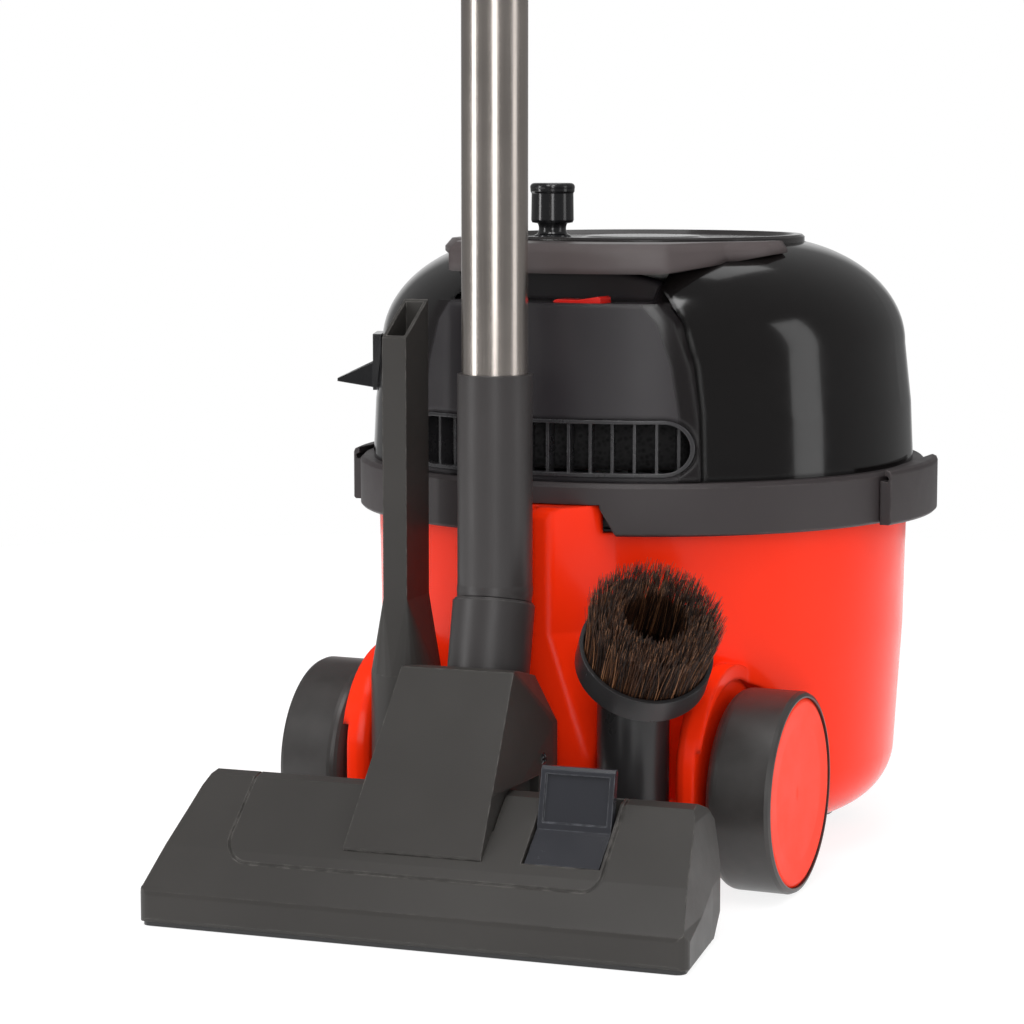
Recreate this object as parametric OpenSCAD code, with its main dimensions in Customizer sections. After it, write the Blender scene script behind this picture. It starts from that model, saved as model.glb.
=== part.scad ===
// Tub vacuum cleaner, parked with its wand, floor tool, crevice tool and dusting brush.
// Frame: +Z up, +Y to the front (hose inlet), +X to the right when seen from behind.
// The origin is under the middle of the whole machine, on the floor.

/* [Tub] */
// Outer radius of the tub at its top edge
tub_top_r = 142; // [138:1:146]
// Outer radius of the tub where the bottom corner starts
tub_foot_r = 137; // [132:1:140]
// Wall thickness of the tub
tub_wall = 3; // [2.5:0.5:4]
// Height of the top edge of the tub
tub_top_z = 176; // [168:1:184]
// Height of the underside of the tub
tub_foot_z = 15; // [10:1:20]
// Radius of the bottom corner of the tub
tub_corner_r = 34; // [28:1:40]
// Height of the hose inlet axis
inlet_z = 112; // [100:1:120]
// Radius of the hose inlet bore
inlet_bore_r = 19; // [16:0.5:22]
// Wall thickness of the inlet spout
inlet_wall = 3.5; // [2.5:0.5:5]
// Distance from the tub axis to the mouth of the inlet
inlet_reach = 163; // [158:1:175]

/* [Back of the tub] */
// How far the back face of the spine stands out from the top edge of the tub
spine_out = 26; // [20:1:30]
// Half width of the spine at its top
spine_top_hw = 19; // [15:1:24]
// Half width of the spine at its foot
spine_foot_hw = 39; // [34:1:41]
// Half width of the docking slot in the spine
slot_hw = 5.5; // [4:0.5:7]
// How far the back edge of the tool shelf stands out from the top edge of the tub
shelf_out = 36; // [32:1:40]
// Height of the top of the tool shelf
shelf_z = 40; // [34:1:46]
// Sideways distance from the middle to each tool peg
peg_x = 61; // [60:0.5:63]
// How far behind the top edge of the tub the tool pegs stand
peg_out = 23; // [21:1:25]
// Height of each tool peg above the shelf
peg_h = 34; // [20:1:45]

/* [Rear wheels] */
// Radius of each rear wheel
wheel_r = 50; // [44:1:54]
// Width of each rear wheel
wheel_w = 34; // [28:1:38]
// Sideways distance from the middle to each wheel
wheel_x = 114.5; // [113:0.5:118]
// How far inside the top edge of the tub the wheel axle lies
axle_inset = 18.5; // [16:0.5:22]
// Radius of the axle
axle_r = 6; // [4:0.5:8]
// Radius of the red hub cap
cap_r = 46.8; // [42:0.2:47]

/* [Casters] */
// Sideways distance from the middle to each caster stem
caster_x = 88; // [80:1:90]
// Distance from the tub axis forward to the caster stems
caster_y = 56; // [50:1:58]
// Radius of each caster wheel
caster_r = 13.5; // [12:0.5:14]
// Width of each caster wheel
caster_w = 12; // [8:1:14]
// Distance from the stem axis to the wheel axis
caster_trail = 5.5; // [5:0.5:6.5]
// Radius of the caster stem
stem_r = 5; // [4:0.5:6]

/* [Head] */
// How far the foot of the head dome stands out from the top edge of the tub
dome_out = 3; // [1:0.5:4]
// How much the head dome draws in from its foot to its shoulder
dome_draft = 5; // [3:0.5:9]
// Height where the shoulder starts
shoulder_z = 262; // [256:1:266]
// Height of the top of the dome
dome_top_z = 318; // [312:1:324]
// Wall thickness of the head mouldings
head_wall = 3; // [2.5:0.25:4]
// How far the rim band stands out from the top edge of the tub
band_out = 10; // [8:0.5:11]
// Height of the underside of the rim band
band_foot_z = 175; // [172:1:178]
// Height of the top of the rim band
band_top_z = 201; // [196:1:206]
// How far the rear panel stands out from the foot of the dome
panel_out = 2; // [1:0.5:4]
// Height of the ledge at the top of the rear panel
ledge_z = 289; // [284:1:292]
// Height of the underside of the handle bar
handle_z = 303; // [300:1:306]
// Radius of the back face of the handle bar
handle_r = 135; // [130:1:138]
// Half width of the hand pocket
pocket_hw = 49; // [44:1:51]
// Depth of the hand pocket, measured as its distance from the tub axis
pocket_y = 106; // [105:1:110]
// Height of the grille window
grille_h = 28; // [22:1:32]
// Height of the middle of the grille window
grille_z = 218; // [216:1:222]
// Half width of the grille window
grille_hw = 76; // [60:1:76]
// Thickness of a grille bar
bar_t = 1.5; // [1:0.1:2.5]
// Angle between neighbouring grille bars
bar_pitch = 4.3; // [3.8:0.1:6]

/* [Clips] */
// Half length of each side clip along the band
clip_hw = 44; // [36:1:48]
// Thickness of each side clip
clip_t = 5.5; // [4:0.5:6]

/* [Cable reel] */
// Radius of the crank disc
crank_r = 86; // [80:1:90]
// Distance from the reel axis to the crank knob
crank_throw = 52; // [44:1:60]
// Radius of the drum flanges
flange_r = 99; // [92:1:101]
// Radius of the drum hub
drum_hub_r = 46; // [40:1:60]
// Radius of the cap of the crank knob
knob_r = 11.7; // [9:0.1:13]
// Height of the top of the crank knob
knob_top_z = 346.5; // [340:0.5:352]

/* [Motor] */
// Radius of the impeller
impeller_r = 56; // [50:1:60]
// Number of blades on the impeller
blade_n = 9; // [7:1:12]

/* [Wand] */
// How far behind the spine the wand axis stands
wand_out = 22; // [21:0.5:23]
// Sideways place of the docked wand
wand_x = -3.5; // [-5:0.5:0]
// Outer radius of the steel tube
tube_r = 16; // [15.5:0.1:16.5]
// Wall thickness of the steel tube
tube_wall = 0.9; // [0.7:0.1:1.2]
// Length of the steel tube
tube_len = 500; // [430:5:520]
// How far the tube stands in its sleeve
tube_seat = 68; // [55:1:72]
// Outer radius of the tube sleeve
sleeve_r = 18.2; // [18:0.1:18.6]
// Height of the top of the tube sleeve
sleeve_top_z = 257; // [250:1:262]
// Height of the bend under the sleeve
bend_z = 152; // [150:1:156]
// Angle of the swivel axis away from the upright
bend_a = 14; // [12:1:16]
// Outer radius of the swivel collar
collar_r = 20; // [19.8:0.1:20.5]

/* [Floor tool] */
// Width of the floor tool
nozzle_w = 270; // [250:1:284]
// Depth of the floor tool from front to back
nozzle_d = 84; // [80:1:86]
// Distance from the wand axis forward to the front edge
nozzle_reach = 109; // [107:0.5:111]
// Height of the front face of the floor tool
lip_h = 18.5; // [16:0.5:21]
// Height of the crest of the floor tool
crest_h = 64; // [60:1:66]
// Distance from the front edge back to the crest
crest_d = 61; // [58:1:63]
// How much narrower each side is at the crest
side_draft = 14; // [8:1:18]
// Turn of the floor tool about the wand axis
tool_yaw = 4; // [3:0.5:4.5]
// Sideways shift of the floor tool from the wand axis
tool_shift = -6; // [-7:0.5:-4]
// Sideways place of the neck on the floor tool
neck_x = -5; // [-6:0.5:-3]
// Distance from the front edge back to the neck pivot
pivot_d = 63; // [61:0.5:64]
// Height of the neck pivot
pivot_z = 34; // [33:0.5:36]
// Radius of the neck barrel
barrel_r = 23; // [21:0.5:24]
// Half width of the neck
neck_hw = 34.4; // [32:0.2:36]
// Sideways distance from the middle of the floor tool to the pedal
pedal_x = 67.5; // [64:0.5:72]
// Width of the pedal
pedal_w = 36; // [30:1:40]
// How far the bristle strips come down
strip_drop = 5; // [3:0.5:6]

/* [Loose tools] */
// Outer radius of the round foot of each tool
tool_r = 17.7; // [17.2:0.1:18.3]
// Bore radius of each tool
tool_bore_r = 16; // [15.6:0.1:16.2]
// Width of the crevice tool
crevice_w = 13; // [11:0.5:15]
// Depth of the crevice tool
crevice_d = 26; // [24:1:30]
// Height of the low side of the crevice tool mouth
crevice_z = 272; // [260:1:283]
// Radius of the cup of the dusting brush
cup_r = 32.5; // [30:0.5:34]
// Depth of the cup of the dusting brush
cup_h = 16; // [12:1:18]
// Free length of the dusting bristles
bristle_h = 31; // [24:1:34]

/* [Fits] */
// Radial clearance where a shaft turns or slides in a hole
run_gap = 0.05; // [0.02:0.01:0.08]
// Clearance between parts that pass each other
pass_gap = 0.5; // [0.4:0.1:0.8]
// Clearance between a part and the seat that it rests on
seat_gap = 0.3; // [0.2:0.05:0.4]
// Clearance between mouldings fixed to each other
joint_gap = 0.1; // [0.05:0.05:0.2]

/* [Hidden] */
$fn = 96;

red = [0.93, 0.16, 0.08];
black = [0.06, 0.06, 0.06];
charcoal = [0.20, 0.20, 0.21];
steel = [0.66, 0.66, 0.68];
eps = 0.01;

// Radii and reaches that follow the top edge of the tub
spine_reach = tub_top_r + spine_out;
shelf_reach = tub_top_r + shelf_out;
peg_reach = tub_top_r + peg_out;
wheel_reach = tub_top_r - axle_inset;
dome_r = tub_top_r + dome_out;
shoulder_r = dome_r - dome_draft;
band_r = tub_top_r + band_out;
panel_r = dome_r + panel_out;
wand_reach = spine_reach + wand_out;

// Back corner of the floor tool that reaches furthest, and the shift that centres the machine
nozzle_corner_r = 6;
rear_reach = wand_reach + (nozzle_reach - nozzle_corner_r) * cos(tool_yaw) + nozzle_corner_r
    + (nozzle_w / 2 - nozzle_corner_r - tool_shift) * sin(tool_yaw);
shift_y = (rear_reach - inlet_reach) / 2;

module place() translate([0, shift_y, 0]) children();

module sides() {
    children();
    mirror([1, 0, 0]) children();
}

// Points on an arc about (cx, cy)
function arc(cx, cy, r, a0, a1, n = 8) =
    [for (i = [0:n]) let (a = a0 + (a1 - a0) * i / n) [cx + r * cos(a), cy + r * sin(a)]];

function mirrored(points) =
    concat(points, [for (i = [len(points) - 1:-1:0]) [-points[i][0], points[i][1]]]);

module tube_z(r_out, r_in, z0, z1) {
    difference() {
        translate([0, 0, z0]) cylinder(r = r_out, h = z1 - z0);
        translate([0, 0, z0 - 1]) cylinder(r = r_in, h = z1 - z0 + 2);
    }
}

// Prism whose outline is given in X and Z, from y0 to y1
module prism_xz(points, y0, y1) {
    translate([0, y1, 0]) rotate([90, 0, 0]) linear_extrude(height = y1 - y0) polygon(points);
}

// Prism whose outline is given in Y and Z, from x0 to x1
module prism_yz(points, x0, x1) {
    translate([x0, 0, 0]) rotate([90, 0, 90]) linear_extrude(height = x1 - x0) polygon(points);
}

module box(x0, x1, y0, y1, z0, z1) translate([x0, y0, z0]) cube([x1 - x0, y1 - y0, z1 - z0]);

module rod_x(r, x0, x1, y, z) translate([x0, y, z]) rotate([0, 90, 0]) cylinder(r = r, h = x1 - x0);

module rod_y(r, y0, y1, x, z) translate([x, y1, z]) rotate([90, 0, 0]) cylinder(r = r, h = y1 - y0);

// ---------------------------------------------------------------- tub

well_x = wheel_x - wheel_w / 2 - 4.5;
well_r = wheel_r + 3.5;
caster_well_hw = norm([caster_r + caster_trail, caster_w / 2]) + 5.5;
caster_well_reach = tub_foot_r - 3 * tub_wall;
caster_well_z = 2 * caster_r + 17;
axle_boss_r = axle_r + 6;
axle_end_x = wheel_x + wheel_w / 2 - 8;
catch_t = 1.6;
catch_r = band_r - 2;
catch_hw = 9;

// Outside of the tub, drawn in by inset, up to the height top
module tub_round(inset, top) {
    corner = [tub_foot_r - tub_corner_r, tub_foot_z + tub_corner_r];
    rotate_extrude() {
        polygon([[0, tub_foot_z + inset], [corner[0], tub_foot_z + inset], corner,
            [tub_foot_r - inset, corner[1]],
            [tub_foot_r + 0.75 * (tub_top_r - tub_foot_r) - inset,
                tub_foot_z + 0.6 * (tub_top_z - tub_foot_z)],
            [tub_top_r - inset, top], [0, top]]);
        intersection() {
            translate(corner) circle(r = tub_corner_r - inset);
            translate([corner[0], 0]) square([200, corner[1]]);
        }
    }
}

module wheel_wells(extra) {
    sides() rod_x(well_r + extra, well_x - extra, well_x + 90, -wheel_reach, wheel_r);
}

// Square wells in which the casters swing
module caster_wells(extra) {
    half = caster_well_hw + extra;
    sides() box(caster_x - half, caster_x + half, caster_y - half, caster_y + half, 0,
        caster_well_z + extra);
}

// Bosses inside the tub that hold the axles and the caster stems
module tub_bosses() {
    sides() rod_x(axle_boss_r, well_x - 20, well_x + 1, -wheel_reach, wheel_r);
    sides() translate([caster_x, caster_y, caster_well_z]) cylinder(r = stem_r + 4, h = 17);
}

module tub_cavity() {
    difference() {
        tub_round(tub_wall, tub_top_z + 1);
        wheel_wells(tub_wall);
        caster_wells(tub_wall);
        tub_bosses();
    }
}

// Spine up the back of the tub that carries the docked wand
module spine() {
    mid_z = 95;
    side = [[-spine_reach + 42, shelf_z - 4], [-spine_reach, shelf_z - 4], [-spine_reach, spine_top_z - 5],
        [-spine_reach + 1.5, spine_top_z - 1.5], [-spine_reach + 5, spine_top_z],
            [-tub_top_r - 1, spine_top_z],
        [-tub_top_r - 1, tub_top_z], [-spine_reach + 42, tub_top_z]];
    outline = [[spine_foot_hw + 4, shelf_z - 4], [spine_foot_hw + 4, mid_z - 25], [spine_foot_hw, mid_z],
        [notch_hw + 7, band_foot_z - 8], [notch_hw + 7, band_foot_z], [notch_hw - 1, spine_top_z]];
    foot_plan = concat([[spine_foot_hw + 3, -120], [spine_foot_hw + 3, -spine_reach + 18]],
        arc(spine_foot_hw - 6, -spine_reach + 6, 6, 0, -90));
    top_plan = concat([[notch_hw + 10, -120], [notch_hw + 6, -tub_top_r + 6]],
        arc(spine_top_hw - 6, -spine_reach + 6, 6, -30, -90));
    intersection() {
        prism_yz(side, -60, 60);
        prism_xz(mirrored(outline), -spine_reach - 1, -100);
        union() {
            translate([0, 0, mid_z - 10]) linear_extrude(height = spine_top_z) polygon(mirrored(top_plan));
            hull() {
                translate([0, 0, shelf_z - 4]) linear_extrude(height = 32) polygon(mirrored(foot_plan));
                translate([0, 0, mid_z + 32]) linear_extrude(height = 1) polygon(mirrored(top_plan));
            }
        }
    }
}

spine_top_z = band_foot_z + 15;
notch_hw = 33;
hook_z0 = spine_top_z - 24;
hook_h = 18;
hook_side = 4;
lip_t = 4;
spine_front = wand_reach - spine_reach;

// Slot with a wider back that takes the hook of the wand sleeve
module docking_slot() {
    funnel = concat([[slot_hw, hook_z0 - seat_gap], [slot_hw, spine_top_z - 9]],
        arc(slot_hw + 9, spine_top_z - 9, 9, 180, 90, 6), [[slot_hw + 9, spine_top_z + 1]]);
    translate([wand_x, -spine_reach, 0]) {
        prism_xz(mirrored(funnel), -1, lip_t + 1);
        box(-slot_hw - hook_side - pass_gap, slot_hw + hook_side + pass_gap, lip_t, lip_t + 6,
            hook_z0 - seat_gap, spine_top_z + 1);
    }
}

// Rounded fenders just inside the rear wheels
module fender() {
    fender_r = wheel_r - 1;
    fender_z = wheel_r + 12;
    intersection() {
        hull() for (step = [[0, 5.5], [1.5, 2.5], [4, 0.5], [7, 0]], z = [shelf_z, fender_z])
            rod_x(fender_r - step[0], well_x - 11 + step[1], well_x + 3, -wheel_reach, z, $fn = 60);
        box(0, 200, -300, 0, tub_foot_z, 300);
    }
}

// Shelf behind the tub with a peg for each loose tool
module tool_shelf() {
    half = well_x + 3;
    plan = concat([[half, -100], [half, -shelf_reach + 10]], arc(half - 10, -shelf_reach + 10, 10, 0, -90));
    translate([0, 0, shelf_z - 18]) linear_extrude(height = 18) polygon(mirrored(plan));
    for (x = [-peg_x - blade_offset, brush_x]) translate([x, -peg_reach, shelf_z - 1]) {
        cylinder(r = tool_bore_r - run_gap, h = peg_h - 2);
        translate([0, 0, peg_h - 2 - eps]) cylinder(r1 = tool_bore_r - run_gap, r2 = tool_bore_r - 2.5,
            h = 3);
    }
}

module tub_shell() color(red) {
    difference() {
        union() {
            tub_round(0, tub_top_z);
            spine();
            tool_shelf();
            sides() fender();
            // beads that the feet of the side clips hold
            intersection() {
                tube_z(catch_r, tub_top_r - 4, tub_top_z - catch_t, tub_top_z);
                sides() box(100, 160, -catch_hw, catch_hw, 0, 200);
            }
            // pad round the hose inlet
            rod_y(inlet_bore_r + inlet_wall + 9, 120, inlet_reach - 17, 0, inlet_z);
        }
        wheel_wells(0);
        intersection() {
            caster_wells(0);
            cylinder(r = caster_well_reach, h = 100);
        }
        tub_cavity();
        docking_slot();
        sides() rod_x(axle_r + run_gap, well_x - 17, well_x + 5, -wheel_reach, wheel_r);
        sides() translate([caster_x, caster_y, 0]) cylinder(r = stem_r + run_gap, h = caster_well_z + 14);
        rod_y(inlet_bore_r + inlet_wall + joint_gap, 90, inlet_reach, 0, inlet_z);
    }
}

// Spout that takes the hose, with its flange on the outside of the pad
module hose_inlet() color(black) {
    flange_y = inlet_reach - 17 + joint_gap;
    difference() {
        union() {
            rod_y(inlet_bore_r + inlet_wall, bag_front_y - 2, inlet_reach, 0, inlet_z);
            rod_y(inlet_bore_r + inlet_wall + 6, flange_y, flange_y + 4, 0, inlet_z);
            rod_y(inlet_bore_r + inlet_wall + 2, inlet_reach - 4, inlet_reach, 0, inlet_z);
        }
        rod_y(inlet_bore_r, 100, inlet_reach + 1, 0, inlet_z);
        // bayonet notches for the hose end
        sides() box(inlet_bore_r - 1, inlet_bore_r + 2, inlet_reach - 10, inlet_reach + 1, inlet_z - 3,
            inlet_z + 3);
    }
}

bag_front_y = 104;

module inlet_seal() color(black) {
    difference() {
        rod_y(inlet_bore_r + inlet_wall + 5, bag_front_y + 5.2, bag_front_y + 9, 0, inlet_z);
        rod_y(inlet_bore_r + inlet_wall + joint_gap, bag_front_y, bag_front_y + 20, 0, inlet_z);
    }
}

module bag_collar() color([0.72, 0.60, 0.42]) {
    difference() {
        box(-38, 38, bag_front_y + 2, bag_front_y + 5, inlet_z - 36, inlet_z + 30);
        rod_y(inlet_bore_r + inlet_wall + joint_gap, 90, 140, 0, inlet_z);
    }
}

// Full paper bag, open round the spout
module dust_bag() color([0.85, 0.80, 0.68]) {
    bag_r = 104;
    bag_z0 = tub_foot_z + tub_wall + seat_gap;
    bag_z1 = 136;
    difference() {
        intersection() {
            translate([0, 8, 0]) rotate_extrude() polygon(concat(
                [[0, bag_z0]], arc(bag_r - 45, bag_z0 + 45, 45, -90, 0, 6),
                arc(bag_r - 45, bag_z1 - 45, 45, 0, 90, 6), [[0, bag_z1]]));
            box(-200, 200, -200, bag_front_y + 2, 0, 200);
        }
        caster_wells(tub_wall + 1);
        sides() translate([caster_x, caster_y, 0]) cylinder(r = stem_r + 6, h = 90);
        sides() rod_x(axle_boss_r + 2, well_x - 24, well_x + 1, -wheel_reach, wheel_r);
        rod_y(inlet_bore_r + inlet_wall + 1.5, 80, 140, 0, inlet_z);
    }
}

// ---------------------------------------------------------------- rear wheels

module wheel_axles() color(steel) {
    sides() difference() {
        rod_x(axle_r, well_x - 16, axle_end_x, -wheel_reach, wheel_r);
        // groove for the retaining clip
        difference() {
            rod_x(axle_r + 1, axle_end_x - 3.4, axle_end_x - 2, -wheel_reach, wheel_r);
            rod_x(axle_r - 1, axle_end_x - 4, axle_end_x, -wheel_reach, wheel_r);
        }
    }
}

module axle_clips() color(steel) {
    sides() difference() {
        rod_x(axle_r + 3.5, axle_end_x - 3.3, axle_end_x - 2.1, -wheel_reach, wheel_r);
        rod_x(axle_r - 1 + joint_gap, axle_end_x - 5, axle_end_x, -wheel_reach, wheel_r);
        box(axle_end_x - 5, axle_end_x, -wheel_reach - 3, -wheel_reach + 3, wheel_r - 20, wheel_r);
    }
}

rim_r = wheel_r - 9;
wheel_in_x = wheel_x - wheel_w / 2;
wheel_out_x = wheel_x + wheel_w / 2;

// Moulded wheel centre: rim, web with ribs and a long hub
module wheel_core() {
    difference() {
        union() {
            difference() {
                rod_x(rim_r, wheel_in_x + 1, wheel_out_x - 5, -wheel_reach, wheel_r);
                rod_x(rim_r - 3, wheel_in_x, wheel_out_x, -wheel_reach, wheel_r);
            }
            rod_x(rim_r - 1, wheel_x - 2, wheel_x + 1, -wheel_reach, wheel_r);
            rod_x(axle_r + 4, wheel_in_x - 2, axle_end_x - 5, -wheel_reach, wheel_r);
            for (i = [0:5])
                translate([wheel_x, -wheel_reach, wheel_r]) rotate([60 * i + 30, 0, 0])
                    box(-wheel_w / 2 + 3, wheel_w / 2 - 9, -1.25, 1.25, axle_r + 2, rim_r - 1);
        }
        rod_x(axle_r + run_gap, wheel_in_x - 5, wheel_out_x + 5, -wheel_reach, wheel_r);
        // room for the retaining clip
        rod_x(axle_r + 5, axle_end_x - 5, wheel_out_x, -wheel_reach, wheel_r);
    }
}

// Tyre with rounded shoulders and a shallow seat for the hub cap
module tyre() {
    edge = 7;
    translate([wheel_in_x, -wheel_reach, wheel_r]) rotate([0, 90, 0]) rotate_extrude()
        polygon(concat([[rim_r + joint_gap, 0]],
            arc(wheel_r - edge, edge, edge, -90, 0, 6),
            [[wheel_r, wheel_w - 2.5], [wheel_r - 0.8, wheel_w - 0.7], [wheel_r - 2.4, wheel_w],
             [cap_r + joint_gap, wheel_w], [cap_r + joint_gap, wheel_w - 4.8],
                 [rim_r + joint_gap, wheel_w - 4.8]]));
}

// Slightly domed cap that closes the outside of the wheel
module hub_cap() {
    translate([wheel_in_x, -wheel_reach, wheel_r]) rotate([0, 90, 0]) rotate_extrude()
        polygon([[0, wheel_w - 1.5], [cap_r - 12, wheel_w - 1.1], [cap_r - 2, wheel_w - 0.5],
            [cap_r, wheel_w - 1.4],
                 [cap_r, wheel_w - 4.7], [rim_r - 8, wheel_w - 4.7], [rim_r - 8, wheel_w - 4],
                     [0, wheel_w - 4]]);
}

module wheel_right() color(charcoal) wheel_core();
module tyre_right() color(black) tyre();
module hub_cap_right() color(red) hub_cap();
module wheel_left() color(charcoal) mirror([1, 0, 0]) wheel_core();
module tyre_left() color(black) mirror([1, 0, 0]) tyre();
module hub_cap_left() color(red) mirror([1, 0, 0]) hub_cap();

// ---------------------------------------------------------------- casters

fork_in = caster_w / 2 + pass_gap;
fork_t = 2.5;
caster_pin_r = 2;

// Fork with its stem; the wheel trails towards the back
module caster_fork() {
    crown_z = 2 * caster_r + 3;
    difference() {
        union() {
            translate([0, 0, crown_z]) cylinder(r = stem_r, h = caster_well_z + 12 - crown_z);
            translate([0, 0, crown_z]) cylinder(r = fork_in + fork_t + 1, h = 4);
            translate([0, 0, caster_well_z - 5 - pass_gap]) cylinder(r = stem_r + 3, h = 5);
            intersection() {
                box(-fork_in - fork_t, fork_in + fork_t, -caster_trail - 7, 7, caster_r - 6, crown_z + 1);
                hull() {
                    rod_x(6, -20, 20, -caster_trail, caster_r);
                    rod_x(6, -20, 20, 1, crown_z - 4);
                }
            }
        }
        box(-fork_in, fork_in, -40, 40, 0, crown_z);
        rod_x(caster_pin_r + run_gap, -20, 20, -caster_trail, caster_r);
    }
}

module caster_wheel() {
    difference() {
        translate([-caster_w / 2, -caster_trail, caster_r]) rotate([0, 90, 0]) rotate_extrude()
            polygon(concat([[0, 0]], arc(caster_r - 3, 3, 3, -90, 0, 4), arc(caster_r - 3,
                caster_w - 3, 3, 0, 90, 4),
                [[0, caster_w]]));
        rod_x(caster_pin_r + run_gap, -20, 20, -caster_trail, caster_r);
    }
}

module caster_spot(side) translate([side * caster_x, caster_y, 0]) children();

module caster_fork_left() color(black) caster_spot(-1) caster_fork();
module caster_fork_right() color(black) caster_spot(1) caster_fork();
module caster_wheel_left() color(charcoal) caster_spot(-1) caster_wheel();
module caster_wheel_right() color(charcoal) caster_spot(1) caster_wheel();

module caster_pin() rod_x(caster_pin_r, -fork_in - fork_t, fork_in + fork_t, -caster_trail, caster_r);
module caster_pin_left() color(steel) caster_spot(-1) caster_pin();
module caster_pin_right() color(steel) caster_spot(1) caster_pin();

// ---------------------------------------------------------------- head mouldings

dome_flat_r = 63;

// Dome: straight side, elliptic shoulder and flat top
module dome(inset) {
    run = shoulder_r - dome_flat_r - inset;
    rise = dome_top_z - shoulder_z - inset;
    rotate_extrude() {
        polygon([[0, band_top_z], [dome_r - inset, band_top_z],
            [(dome_r + shoulder_r) / 2 + 1 - inset, (band_top_z + shoulder_z) / 2],
            [shoulder_r - inset, shoulder_z], [0, shoulder_z]]);
        intersection() {
            translate([dome_flat_r, shoulder_z]) scale([run / rise, 1]) circle(r = rise);
            translate([dome_flat_r, shoulder_z]) square(200);
        }
        translate([0, shoulder_z]) square([dome_flat_r, rise]);
    }
}

// Outline of the rear block seen from behind, drawn in by inset
function block_outline(inset) = mirrored(concat(
    [[78 - inset, band_top_z - 2], [76.5 - inset, 234], [73 - inset, 258], [66.5 - inset, 279]],
    [[58 - inset, ledge_z + 1], [pocket_hw + 4 - inset, ledge_z + 6], [pocket_hw + 4 - inset, handle_z]]));

module ring_sector(r_out, r_in, z0, z1) {
    difference() {
        tube_z(r_out, r_in, z0, z1);
        box(-200, 200, -40, 200, z0 - 1, z1 + 1);
    }
}

// Rounded slot shape of the grille window, grown by extra
module window(extra, y0, y1) {
    end_x = grille_hw - grille_h / 2;
    translate([0, y1, 0]) rotate([90, 0, 0]) linear_extrude(height = y1 - y0) {
        translate([-end_x, grille_z - grille_h / 2 - extra]) square([2 * end_x, grille_h + 2 * extra]);
        for (side = [-1, 1]) translate([side * end_x, grille_z]) circle(r = grille_h / 2 + extra);
    }
}

// Places of the four screws that join head and base plate
screw_reach = dome_r - 14;
boss_top_z = band_top_z + 25;
module screw_spots() for (a = [45:90:315]) rotate([0, 0, a]) translate([screw_reach, 0, 0]) children();

module head_shell() color(black) {
    difference() {
        dome(0);
        difference() {
            translate([0, 0, -eps]) dome(head_wall);
            // ring that carries the rim of the reel opening
            tube_z(crank_r + 6, crank_r + pass_gap, dome_top_z - 8, dome_top_z);
            // screw bosses with a web to the wall
            screw_spots() cylinder(r = 5, h = boss_top_z);
            screw_spots() box(0, dome_r - screw_reach, -1.5, 1.5, 0, boss_top_z);
        }
        cylinder(r = crank_r + pass_gap, h = 400);
        prism_xz(block_outline(-joint_gap), -200, -62);
        screw_spots() cylinder(r = 2.1, h = boss_top_z - 4);
        // hole for the mains lead, behind the outlet
        rotate([0, 0, outlet_a]) rod_x(5, 100, 200, 0, outlet_z);
    }
}

// Rear moulding: curved panel with its side walls, ledge and the lining of the hand pocket
module rear_panel() color(charcoal) {
    difference() {
        intersection() {
            prism_xz(block_outline(0), -200, -62);
            union() {
                tube_z(panel_r, panel_r - 12, band_top_z + joint_gap, ledge_z);
                tube_z(panel_r, pocket_y - head_wall, ledge_z - head_wall, ledge_z);
                // lining of the pocket behind the ledge
                difference() {
                    dome(head_wall + 1);
                    box(-200, 200, -pocket_y + head_wall, 200, 0, 400);
                    cylinder(r = 300, h = ledge_z - head_wall);
                }
            }
        }
        window(joint_gap, -200, -60);
        // hollow behind the panel
        intersection() {
            prism_xz(block_outline(head_wall), -200, -62);
            cylinder(r = panel_r - head_wall, h = ledge_z - head_wall);
        }
        // hand pocket
        box(-pocket_hw, pocket_hw, -200, -pocket_y, ledge_z, 400);
        box(-200, 200, -200, 200, handle_z - joint_gap, 400);
        // window of the power switch
        box(switch_x - switch_w / 2 - 1.5, switch_x + switch_w / 2 + 1.5, switch_y - 8.5,
            switch_y + 8.5, ledge_z - 10, ledge_z + 1);
    }
}

switch_x = 17.5;
switch_w = 26;
switch_y = -129;
rocker_pivot_z = ledge_z - 3;

module switch_body() color(black) {
    difference() {
        box(switch_x - switch_w / 2 - 4, switch_x + switch_w / 2 + 4, switch_y - 9.7, switch_y + 9.7,
            ledge_z - 22, ledge_z - head_wall - joint_gap);
        box(switch_x - switch_w / 2 - 1, switch_x + switch_w / 2 + 1, switch_y - 8, switch_y + 8,
            ledge_z - 17, ledge_z);
    }
    rod_y(1.6, switch_y - 9, switch_y - 7.6, switch_x, rocker_pivot_z - 4);
    rod_y(1.6, switch_y + 7.6, switch_y + 9, switch_x, rocker_pivot_z - 4);
}

// Rocker, drawn at rest with its left end down
module switch_rocker() color(red) {
    half = switch_w / 2;
    translate([switch_x, switch_y, rocker_pivot_z - 4]) rotate([0, -rocker_tilt, 0]) difference() {
        translate([0, 7, 0]) rotate([90, 0, 0]) linear_extrude(height = 14)
            polygon(mirrored([[half - 2, -3], [half - 0.6, 4], [half - 0.4, 8.5], [half - 2, 9.3],
                [0, 8.3]]));
        rod_y(1.6 + run_gap, -20, 20, 0, 0);
    }
}
rocker_tilt = 4;

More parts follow.
